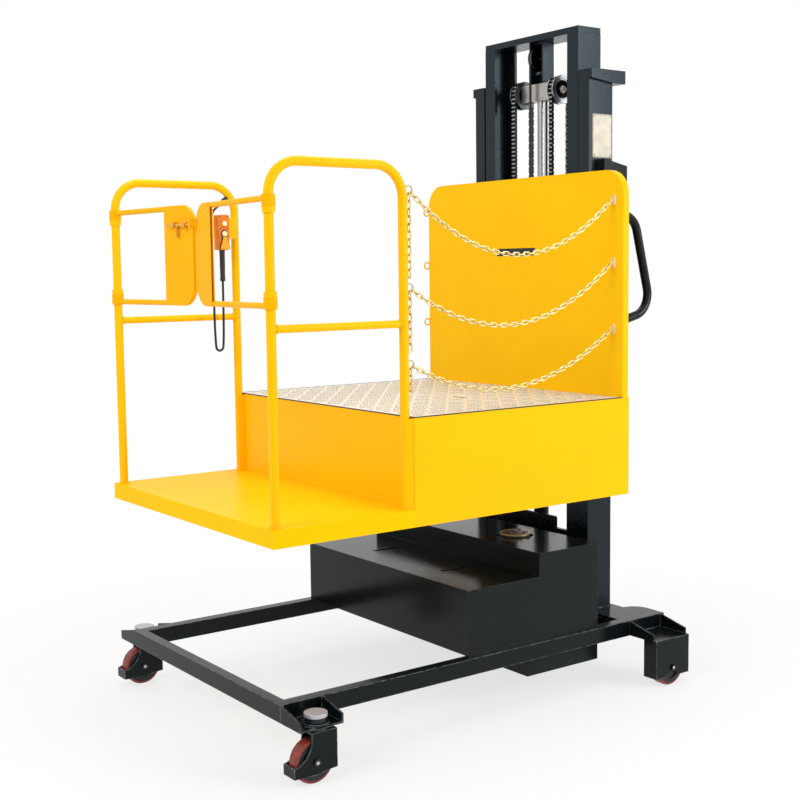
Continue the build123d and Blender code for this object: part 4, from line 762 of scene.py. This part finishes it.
rail_outer, rail_low, rail_top = 531.0, 174.0, 232.0
bracket_front, bracket_rear, bracket_foot = -894.0, -736.0, 7.0
housing_front, housing_rear, housing_foot = 633.0, 809.0, 9.0
mast_outer, mast_inner, mast_front, mast_rear = 331.0, 276.0, 611.0, 736.0
tie_weld_low, tie_weld_high = 2250.0, 2296.0
base_runs = []
for side in (-1, 1):
    x = side * (rail_outer + 1.0)
    for front, rear, foot in (
        (bracket_front, bracket_rear, bracket_foot), (housing_front, housing_rear, housing_foot),
    ):
        for y in (front + 7.0, rear - 7.0):
            base_runs.append(line((x, y, rail_low + foot + 1.0), (x, y, rail_top - 2.0)))
        base_runs.append(line((x, front + 8.0, rail_low + foot), (x, rear - 8.0, rail_low + foot)))
    outer, inner, z = side * (mast_outer + 1.0), side * mast_inner, rail_top + 1.0
    base_runs.append(line((outer, mast_front, z), (outer, mast_rear, z)))
    for y in (mast_front - 1.0, mast_rear + 1.0):
        base_runs.append(line((inner, y, z), (side * mast_outer, y, z)))
    base_runs.append(line((outer, mast_rear + 1.0, tie_weld_low), (outer, mast_rear + 1.0, tie_weld_high)))
weld_piece("base_welds", base_runs, bead_r, charcoal_paint, "base")


# Fasteners: hexagon bolts with washers, in place of the plain heads
washer_thick = 2.2
foot_ring, foot_top = 42.0, 242.0
handle_face, handle_bolt_y, handle_bolt_zs = 367.0, 719.0, (1360.0, 1845.0)
crosshead_face = 124.5
rear_anchor_z, carriage_anchor_z = 1580.0, 785.0


def hex_bolt(bm, base, axis, across, height, washer):
    """Washer and hexagon head on a face, along an axis."""
    base, axis = Vector(base) * MM, Vector(axis).normalized()
    washer_top = [(washer * 0.47, washer_thick), (across * 0.4, washer_thick)]
    lathe(bm, mm([(washer * 0.5, -0.2), (washer * 0.5, 1.6), *washer_top]), base, axis, 28)
    outline = [
        (across / math.sqrt(3) * MM * math.cos(math.radians(60 * i)),
         across / math.sqrt(3) * MM * math.sin(math.radians(60 * i))) for i in range(6)
    ]
    head = frame_at(base + axis * washer_thick * MM, axis)
    prism(bm, outline, head, (height - washer_thick) * MM, 0.9 * MM)


bm = bmesh.new()
for i in range(4):
    turn = math.radians(45 + 90 * i)
    spot = (foot_ring * math.cos(turn), lift_wheel_y + foot_ring * math.sin(turn), foot_top)
    hex_bolt(bm, spot, (0, 0, 1), 13.0, 9.0, 16.0)
for side in (-1, 1):
    for z in handle_bolt_zs:
        hex_bolt(bm, (side * handle_face, handle_bolt_y, z), (side, 0, 0), 19.0, 9.0, 24.0)
bolts = add("hexagon_bolts", bm, zinc, "base")
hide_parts("bolts")

bm = bmesh.new()
for side in (-1, 1):
    hex_bolt(bm, (side * crosshead_face, lift_wheel_y, lift_wheel_z), (side, 0, 0), 19.0, 12.0, 29.0)
add("crosshead_bolts", bm, cap_steel, "inner_mast")

for name, y, z, body in (
    ("chain_anchor_nuts", rear_y, rear_anchor_z, "base"),
    ("carriage_anchor_nuts", front_y, carriage_anchor_z, "platform"),
):
    bm = bmesh.new()
    for x in lift_chain_xs:
        hex_bolt(bm, (x, y, z), (0, 0, -1), 16.0, 14.0, 22.0)
    add(name, bm, zinc, body)


# Plain plates: a pale one on the mast's right side and a dark one on the back plate
def plain_plate(name, centre, normal, side, width, height, material, rim, body):
    """Thin plain plate with a raised rim and four rivets."""
    bm = bmesh.new()
    place = frame_at(Vector(centre) * MM, normal, side)
    prism(bm, rounded_rectangle(width * MM, height * MM, 4 * MM), place, 0.9 * MM, 0.25 * MM)
    add(name, bm, material, body)
    bm = bmesh.new()
    outline = rounded_rectangle((width - 5) * MM, (height - 5) * MM, 3 * MM)
    loop = [place @ Vector((x, y, 0.9 * MM)) for x, y in outline + outline[:1]]
    tube(bm, loop, 0.7 * MM, 6)
    for sx in (-1, 1):
        for sy in (-1, 1):
            spot = place @ Vector((sx * (width / 2 - 9) * MM, sy * (height / 2 - 9) * MM, 0.8 * MM))
            lathe(bm, mm([(2.6, 0.0), (2.4, 0.7), (1.3, 1.2)]), spot, normal, 16)
    add(f"{name}_rim", bm, rim, body)


back_plate_front = 547.0
plain_plate(
    "mast_plate", (mast_outer, 680.9, 2052.0), (1, 0, 0), (0, 1, 0), 100.0, 162.0,
    pale_plate, dark_plate, "base",
)
plain_plate(
    "deck_plate", (-10.0, back_plate_front, 1623.5), (0, -1, 0), (1, 0, 0), 226.0, 29.0,
    dark_plate, dark_plate, "platform",
)

# Pads behind the back plate's eyes
eye_x, eye_zs = 525.0, (1801.0, 1575.0, 1334.0)
pad_root, pad_screw_root = back_plate_front + 0.2, back_plate_front - 2.3
bm = bmesh.new()
for z in eye_zs:
    place = frame_at(Vector((eye_x, pad_root, z)) * MM, (0, -1, 0), (1, 0, 0))
    prism(bm, rounded_rectangle(26 * MM, 36 * MM, 7 * MM), place, 2.6 * MM, 0.6 * MM)
    for dz in (-13.0, 13.0):
        spot = Vector((eye_x, pad_screw_root, z + dz)) * MM
        lathe(bm, mm([(3.2, 0.0), (3.0, 1.2), (1.6, 1.9)]), spot, (0, -1, 0), 16)
add("eye_pads", bm, cream_plastic, "platform")

# Face sheets of the gate leaves, over the front of their bent tubes
gate_turn = math.radians(5.0)
gate_tip, gate_top, gate_low, gate_corner, gate_tube_r = 537.0, 1774.0, 1456.0, 65.0, 9.5
sheet_over, sheet_thick = 8.5, 2.0
for side, body, sheet_width in ((-1, "left_gate", 182.0), (1, "right_gate", 120.0)):
    along = Vector((-side * math.cos(gate_turn), math.sin(gate_turn), 0.0))
    front = Vector((-side * math.sin(gate_turn), -math.cos(gate_turn), 0.0))
    low, high = gate_low - sheet_over, gate_top + sheet_over
    round_r = gate_corner + sheet_over
    tip = gate_tip - gate_tube_r + sheet_over
    outline = [(gate_tip - sheet_width, low)]
    for centre_z, start in ((low + round_r, -90), (high - round_r, 0)):
        for i in range(13):
            turn = math.radians(start + 90 * i / 12)
            outline.append((tip - round_r + round_r * math.cos(turn), centre_z + round_r * math.sin(turn)))
    outline.append((gate_tip - sheet_width, high))
    hinge = Vector((side * guard_x, guard_front, 0.0))
    rings = []
    middle = Vector((gate_tip - sheet_width / 2, (low + high) / 2))
    for offset, inset in ((-0.6, 0.0), (sheet_thick - 0.9, 0.0), (sheet_thick - 0.6, 0.4)):
        ring = []
        for reach, z in outline:
            spot = Vector((reach, z))
            spot -= (spot - middle).normalized() * inset
            out = front * (gate_tube_r + offset)
            ring.append((hinge + along * spot.x + out + Vector((0, 0, spot.y))) * MM)
        rings.append(ring)
    bm = bmesh.new()
    skin(bm, rings)
    add(f"{body}_sheet", bm, gate_paint_shaded, body)

# Folded apron under the mast base plate's front edge
apron_low, apron_top, apron_sheet = 175.0, 221.0, 4.0
apron_right = [(0.0, 599.0), (346.0, 599.0), (364.0, 617.0), (488.5, 617.0)]
apron_front = [(-x, y) for x, y in reversed(apron_right[1:])] + apron_right
apron_ring = apron_front + [(x, y + apron_sheet) for x, y in reversed(apron_front)]
bm = bmesh.new()
skin(bm, [[Vector((x, y, z)) * MM for x, y in apron_ring] for z in (apron_low, apron_top)])
add("base_plate_apron", bm, charcoal_paint, "base")

# Hose guard bolted along the top of the inner mast's lower tie
tie_top, tie_front = 530.0, 614.5
guard_half, guard_rise, guard_deep = 160.0, 50.0, 13.0
bm = bmesh.new()
prism(
    bm, rounded_rectangle(2 * guard_half * MM, (guard_rise + 12.0) * MM, 9 * MM),
    frame_at(Vector((0.0, tie_front - 0.3, tie_top + guard_rise / 2 - 6.0)) * MM, (0, -1, 0), (1, 0, 0)),
    guard_deep * MM, 2 * MM,
)
for x in (-135.0, -80.0, 80.0, 135.0):
    hex_bolt(bm, (x, tie_front - 0.3 - guard_deep, tie_top + 20.0), (0, -1, 0), 10.0, 7.0, 16.0)
add("hose_guard", bm, mast_paint, "inner_mast")

# Motor cap with its brass rim, in the round hole of the cover
motor_x, motor_y, motor_top = 209.0, 347.0, 557.0
motor_place = Vector((motor_x, motor_y, motor_top)) * MM
cap_ring = 36.0
bm = bmesh.new()
rim_profile = [(58.6, -14), (58.6, 0.5), (57.4, 1.8), (52.0, 1.8), (51.0, 0.4)]
lathe(bm, mm(rim_profile), motor_place, (0, 0, 1), 64)
add("motor_rim", bm, brass_plate, "base")
bm = bmesh.new()
cap_profile = [(50.8, -2), (50.8, 1.0), (46.0, 2.6), (14.0, 3.0), (12.0, 6.0), (4.0, 6.6)]
lathe(bm, mm(cap_profile), motor_place, (0, 0, 1), 64)
for i in range(4):
    turn = math.radians(20 + 90 * i)
    spot = (motor_x + cap_ring * math.cos(turn), motor_y + cap_ring * math.sin(turn), motor_top + 2.6)
    hex_bolt(bm, spot, (0, 0, 1), 8.0, 6.0, 12.0)
add("motor_cap", bm, motor_grey, "base")

# Pendant: bezels round the buttons, screws, and a boot with a collar
pendant_face, pendant_y = -488.0, -492.8
pendant_low, pendant_high = 1641.5, 1773.5
button_places = {"up": (1741.0, pendant_plastic), "down": (1702.5, dark_plastic)}
bezel_profile = [
    (10.5, 0.0), (15.0, 0.0), (15.0, 1.6), (13.6, 3.2), (11.6, 3.2), (10.5, 1.8), (10.5, 0.0),
]
screw_profile = [(2.6, -0.2), (2.6, 0.7), (2.1, 1.2), (1.2, 1.2), (1.0, 0.5)]
sleeve_profile = [
    (11.0, 0.0), (11.0, 6), (10.2, 9), (10.0, 60), (9.2, 96),
    (9.0, 100), (10.0, 103), (10.0, 114), (8.6, 118), (4.6, 118),
]
for name, (z, material) in button_places.items():
    bm = bmesh.new()
    lathe(bm, mm(bezel_profile), Vector((pendant_face, pendant_y, z)) * MM, (1, 0, 0), 40)
    add(f"pendant_bezel_{name}", bm, material, "platform")
bm = bmesh.new()
for dy in (-15.5, 15.5):
    for z in (pendant_low + 80.0, pendant_high - 8.0):
        lathe(bm, mm(screw_profile), Vector((pendant_face, pendant_y + dy, z)) * MM, (1, 0, 0), 20)
add("pendant_screws", bm, dark_plastic, "platform")
bm = bmesh.new()
lathe(bm, mm(sleeve_profile), Vector((cable_route[0][0], pendant_y, pendant_low)) * MM, (0, 0, -1), 32)
boot = add("pendant_sleeve", bm, black_rubber, "platform")
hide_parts("pendant_boot")

# Bell-shaped shroud below the buttons, with a dark lip down its sides
bell_low, bell_height, bell_top, bell_foot, bell_proud = pendant_low + 2.5, 46.0, 9.0, 19.8, 9.0
bell_side = []
for i in range(13):
    share = i / 12
    half = bell_top + (bell_foot - bell_top) * (3 * share**2 - 2 * share**3)
    bell_side.append((half, bell_height / 2 - bell_height * share))
bell_centre = Vector((pendant_face, pendant_y, bell_low + bell_height / 2)) * MM
bell_place = frame_at(bell_centre, (1, 0, 0), (0, 1, 0))
bm = bmesh.new()
bell_outline = bell_side + [(-y, z) for y, z in reversed(bell_side)]
prism(bm, mm(bell_outline), bell_place, bell_proud * MM, 1.6 * MM)
add("pendant_bell", bm, pendant_light, "platform")
bm = bmesh.new()
for side in (-1, 1):
    run = [bell_place @ Vector((side * y * MM, z * MM, 4.5 * MM)) for y, z in bell_side]
    tube(bm, run, 2.4 * MM, 8)
add("pendant_bell_lip", bm, dark_plastic, "platform")

# Strain relief over the cable's gland in the guard's rear top bend
gland_turn = math.radians(38.0)
gland_axis = Vector((0.0, math.cos(gland_turn), math.sin(gland_turn)))
gland_root = Vector((-guard_x, -516.3, 1785.0)) + gland_axis * 87.0
relief_profile = [
    (9.6, 0.0), (9.6, 17), (10.4, 18), (10.4, 21), (8.6, 23),
    (7.6, 30), (7.9, 31), (7.0, 35), (7.3, 36), (6.2, 41),
]
bm = bmesh.new()
lathe(bm, mm(relief_profile), gland_root * MM, -gland_axis, 28)
add("cable_strain_relief", bm, black_rubber, "platform")

# Latch knob on the bolt's hanging handle
knob_place, knob_r = Vector((-91.8, -887.5, 1682.0)), 7.0
bm = bmesh.new()
knob_turns = [math.radians(a) for a in range(15, 180, 15)]
knob = [(knob_r * math.sin(t), -knob_r * math.cos(t)) for t in knob_turns]
lathe(bm, mm(knob), knob_place * MM, (0, 0, 1), 24)
add("latch_knob", bm, latch_gold, "gate_bolt")


# Axles of the wheels, in metres
front_axle_y, rear_axle_y, axle_z = -0.833, 0.721, 0.070
tyre_rim = 61 * MM


def king_pin_finish():
    """King pins: pale cap on top, dark race and neck, plated axle below."""
    s = Surface("king_pin_finish", metallic=0.5)
    height = s.node("ShaderNodeSeparateXYZ", {"Vector": s.place}).outputs["Z"]
    grain = s.noise(260.0, 4.0)
    cap = s.blend(s.span(grain, 0.3, 0.7), srgb(192, 193, 199), srgb(174, 175, 181))
    neck = s.blend(s.span(grain, 0.3, 0.7), srgb(26, 29, 31), srgb(44, 48, 50))
    plated = s.blend(s.cells(300.0), srgb(206, 205, 198), srgb(166, 165, 160))
    plated = s.blend(s.span(s.radial(front_axle_y, axle_z), 5 * MM, 6 * MM), plated, neck)
    tone = s.blend(s.span(height, 0.1, 0.12), plated, neck)
    s.set(color=s.blend(s.span(height, 0.2052, 0.2056), tone, cap))
    s.set(roughness=s.span(grain, 0.3, 0.7, 0.32, 0.5), normal=s.bump(grain, 0.1, 0.1 * MM))
    return s.material


# Finishes of the CAD nodes that stay, and the rounding of their edges in millimetres
front_wheel = wheel_finish("front_wheel_finish", front_axle_y, axle_z, tyre_rim)
rear_wheel = wheel_finish("rear_wheel_finish", rear_axle_y, axle_z, tyre_rim)
king_pin = king_pin_finish()
rear_axle = turned_finish(
    "rear_axle_finish", rear_axle_y, axle_z, 5.5 * MM, srgb(26, 29, 31), srgb(38, 41, 43),
    srgb(206, 205, 198),
)
# The last colour is painted shade on the left chain wheel.
chain_wheel = turned_finish(
    "chain_wheel_finish", lift_wheel_y * MM, lift_wheel_z * MM, 35 * MM, srgb(166, 168, 174),
    srgb(130, 132, 138), srgb(14, 15, 17), srgb(78, 82, 84),
)
pulley_finish = turned_finish(
    "pulley_finish", lift_wheel_y * MM, pulley_z * MM, 48 * MM, srgb(150, 150, 150), srgb(112, 112, 112),
    srgb(26, 27, 28),
)
finish_groups = (
    (charcoal_paint, {
        "base_frame": 1.2, "mast_base_plate": 1.5, "caster_bracket": 1.2, "caster_fork": 1.2,
        "rear_wheel_housing": 1.5, "lift_cylinder": 0.8,
    }),
    (cover_paint, {"battery_cover": 0.8, "belly_pan": 1.5, "push_handle": 1.2}),
    (mast_paint, {
        "outer_mast_channel": 2.0, "outer_mast_ties": 2.0, "inner_mast_channel": 2.0, "inner_mast_ties": 2.0,
        "crosshead_hanger": 1.2, "carriage_frame": 1.5,
    }),
    (yellow_paint, {"deck_box": 0.4, "back_plate": 3.0}),
    (step_paint_lit, {"platform_step": 0.4}),
    (guard_paint, {"guard_rail": 0.0}),
    (gate_paint_shaded, {"gate_leaf": 0.0}),
    (tread_base, {"tread_plate": 0.6}),
    (king_pin, {"king_pin": 0.0}),
    (front_wheel, {"caster_wheel": 0.0}),
    (rear_wheel, {"rear_wheel": 0.0}),
    (rear_axle, {"rear_axles": 1.2}),
    (case_plastic, {"batteries": 4.0, "pump_motor": 0.0, "oil_tank": 3.0}),
    (black_rubber, {"hydraulic_line": 0.0}),
    (crosshead_steel, {"crosshead": 1.5}),
    (rod_chrome, {"piston_rod": 0.0}),
    (pulley_finish, {"cable_pulley": 0.0}),
    (chain_wheel, {"chain_wheels": 0.8}),
    (roller_steel, {
        "mast_rollers_lower": 0.0, "mast_rollers_upper": 0.0, "carriage_rollers_lower": 0.0,
        "carriage_rollers_upper": 0.0,
    }),
    (zinc_with_painted_yellow, {"safety_chains": 0.0}),
    (latch_gold, {"latch_housing": 0.8, "latch_bolt": 0.0}),
    (pendant_plastic, {"pendant_housing": 1.5}),
    (cream_plastic, {"pendant_button_up": 1.0, "pendant_button_down": 1.0}),
)
finishes = {name: (material, width) for material, widths in finish_groups for name, width in widths.items()}


def round_edges(node, width):
    """Weld the split vertices and bevel the sharp edges, so that they catch light."""
    weld = node.modifiers.new("weld", "WELD")
    weld.merge_threshold = 1e-5
    bevel = node.modifiers.new("bevel", "BEVEL")
    bevel.width = width * MM
    bevel.segments = 2
    bevel.limit_method = "ANGLE"
    bevel.angle_limit = math.radians(40)
    bevel.use_clamp_overlap = True
    shade = node.modifiers.new("shade", "WEIGHTED_NORMAL")
    shade.keep_sharp = False


for name, node in nodes.items():
    key = name.removesuffix("_left").removesuffix("_right")
    if key not in finishes:
        continue
    material, width = finishes[key]
    node.data.materials.clear()
    node.data.materials.append(material)
    if width:
        round_edges(node, width)


# Floor, backdrop light and lamps
def set_inputs(node, values):
    """Constants on a node's sockets."""
    for socket, value in values.items():
        node.inputs[socket].default_value = value


def stage_white(tree, lit, white, bright, output):
    """White for the camera and reflections, and a lit shader for the rest."""
    path = tree.nodes.new("ShaderNodeLightPath")
    seen = path.outputs["Is Camera Ray"]
    for ray in ("Is Glossy Ray", "Is Transmission Ray"):
        either = tree.nodes.new("ShaderNodeMath")
        either.operation = "MAXIMUM"
        tree.links.new(seen, either.inputs[0])
        tree.links.new(path.outputs[ray], either.inputs[1])
        seen = either.outputs["Value"]
    share = tree.nodes.new("ShaderNodeMath")
    share.operation = "MULTIPLY"
    tree.links.new(seen, share.inputs[0])
    if isinstance(bright, bpy.types.NodeSocket):
        tree.links.new(bright, share.inputs[1])
    else:
        share.inputs[1].default_value = bright
    mixed = tree.nodes.new("ShaderNodeMixShader")
    tree.links.new(share.outputs["Value"], mixed.inputs["Fac"])
    tree.links.new(lit, mixed.inputs[1])
    tree.links.new(white, mixed.inputs[2])
    tree.links.new(mixed.outputs["Shader"], tree.nodes[output].inputs["Surface"])


ambient = 0.52
world = bpy.data.worlds.new("studio")
world.use_nodes = True
scene.world = world
tree = world.node_tree
plain = tree.nodes["Background"]
set_inputs(plain, {"Color": (1.0, 1.0, 1.0, 1.0), "Strength": ambient})
white = tree.nodes.new("ShaderNodeBackground")
set_inputs(white, {"Color": (1.0, 1.0, 1.0, 1.0), "Strength": 1.0})
stage_white(tree, plain.outputs["Background"], white.outputs["Background"], 1.0, "World Output")

floor_material = bpy.data.materials.new("studio_floor")
floor_material.use_nodes = True
tree = floor_material.node_tree
floor_shader = tree.nodes["Principled BSDF"]
set_inputs(floor_shader, {
    "Base Color": (0.86, 0.86, 0.86, 1.0), "Roughness": 0.9, "Specular IOR Level": 0.1,
})
glow = tree.nodes.new("ShaderNodeEmission")
set_inputs(glow, {"Strength": 1.0})
spot = tree.nodes.new("ShaderNodeTexCoord")
reach = tree.nodes.new("ShaderNodeVectorMath")
reach.operation = "LENGTH"
tree.links.new(spot.outputs["Object"], reach.inputs[0])
fade = tree.nodes.new("ShaderNodeMapRange")
fade.interpolation_type = "SMOOTHSTEP"
tree.links.new(reach.outputs["Value"], fade.inputs["Value"])
set_inputs(fade, {"From Min": 1.0, "From Max": 2.4, "To Min": 0.72, "To Max": 1.0})
stage_white(
    tree, floor_shader.outputs["BSDF"], glow.outputs["Emission"], fade.outputs["Result"], "Material Output",
)
bm = bmesh.new()
bmesh.ops.create_grid(bm, x_segments=1, y_segments=1, size=40.0)
floor = finish_mesh("floor", bm, floor_material)


def lamp(name, place, target, size, power):
    """Large soft lamp aimed at a point."""
    data = bpy.data.lights.new(name, "AREA")
    data.shape = "RECTANGLE"
    data.size, data.size_y = size
    data.energy = power
    made = bpy.data.objects.new(name, data)
    made.location = place
    made.rotation_mode = "QUATERNION"
    made.rotation_quaternion = (Vector(target) - Vector(place)).to_track_quat("-Z", "Y")
    scene.collection.objects.link(made)


lamp("key", (1.2, -6.5, 5.2), (0.0, -0.2, 1.0), (3.6, 3.0), 240.0)
lamp("fill", (5.4, 3.4, 2.8), (0.0, 0.1, 1.0), (3.0, 3.0), 230.0)
lamp("top", (-0.6, 0.4, 5.4), (0.0, 0.0, 0.0), (3.4, 3.4), 108.0)
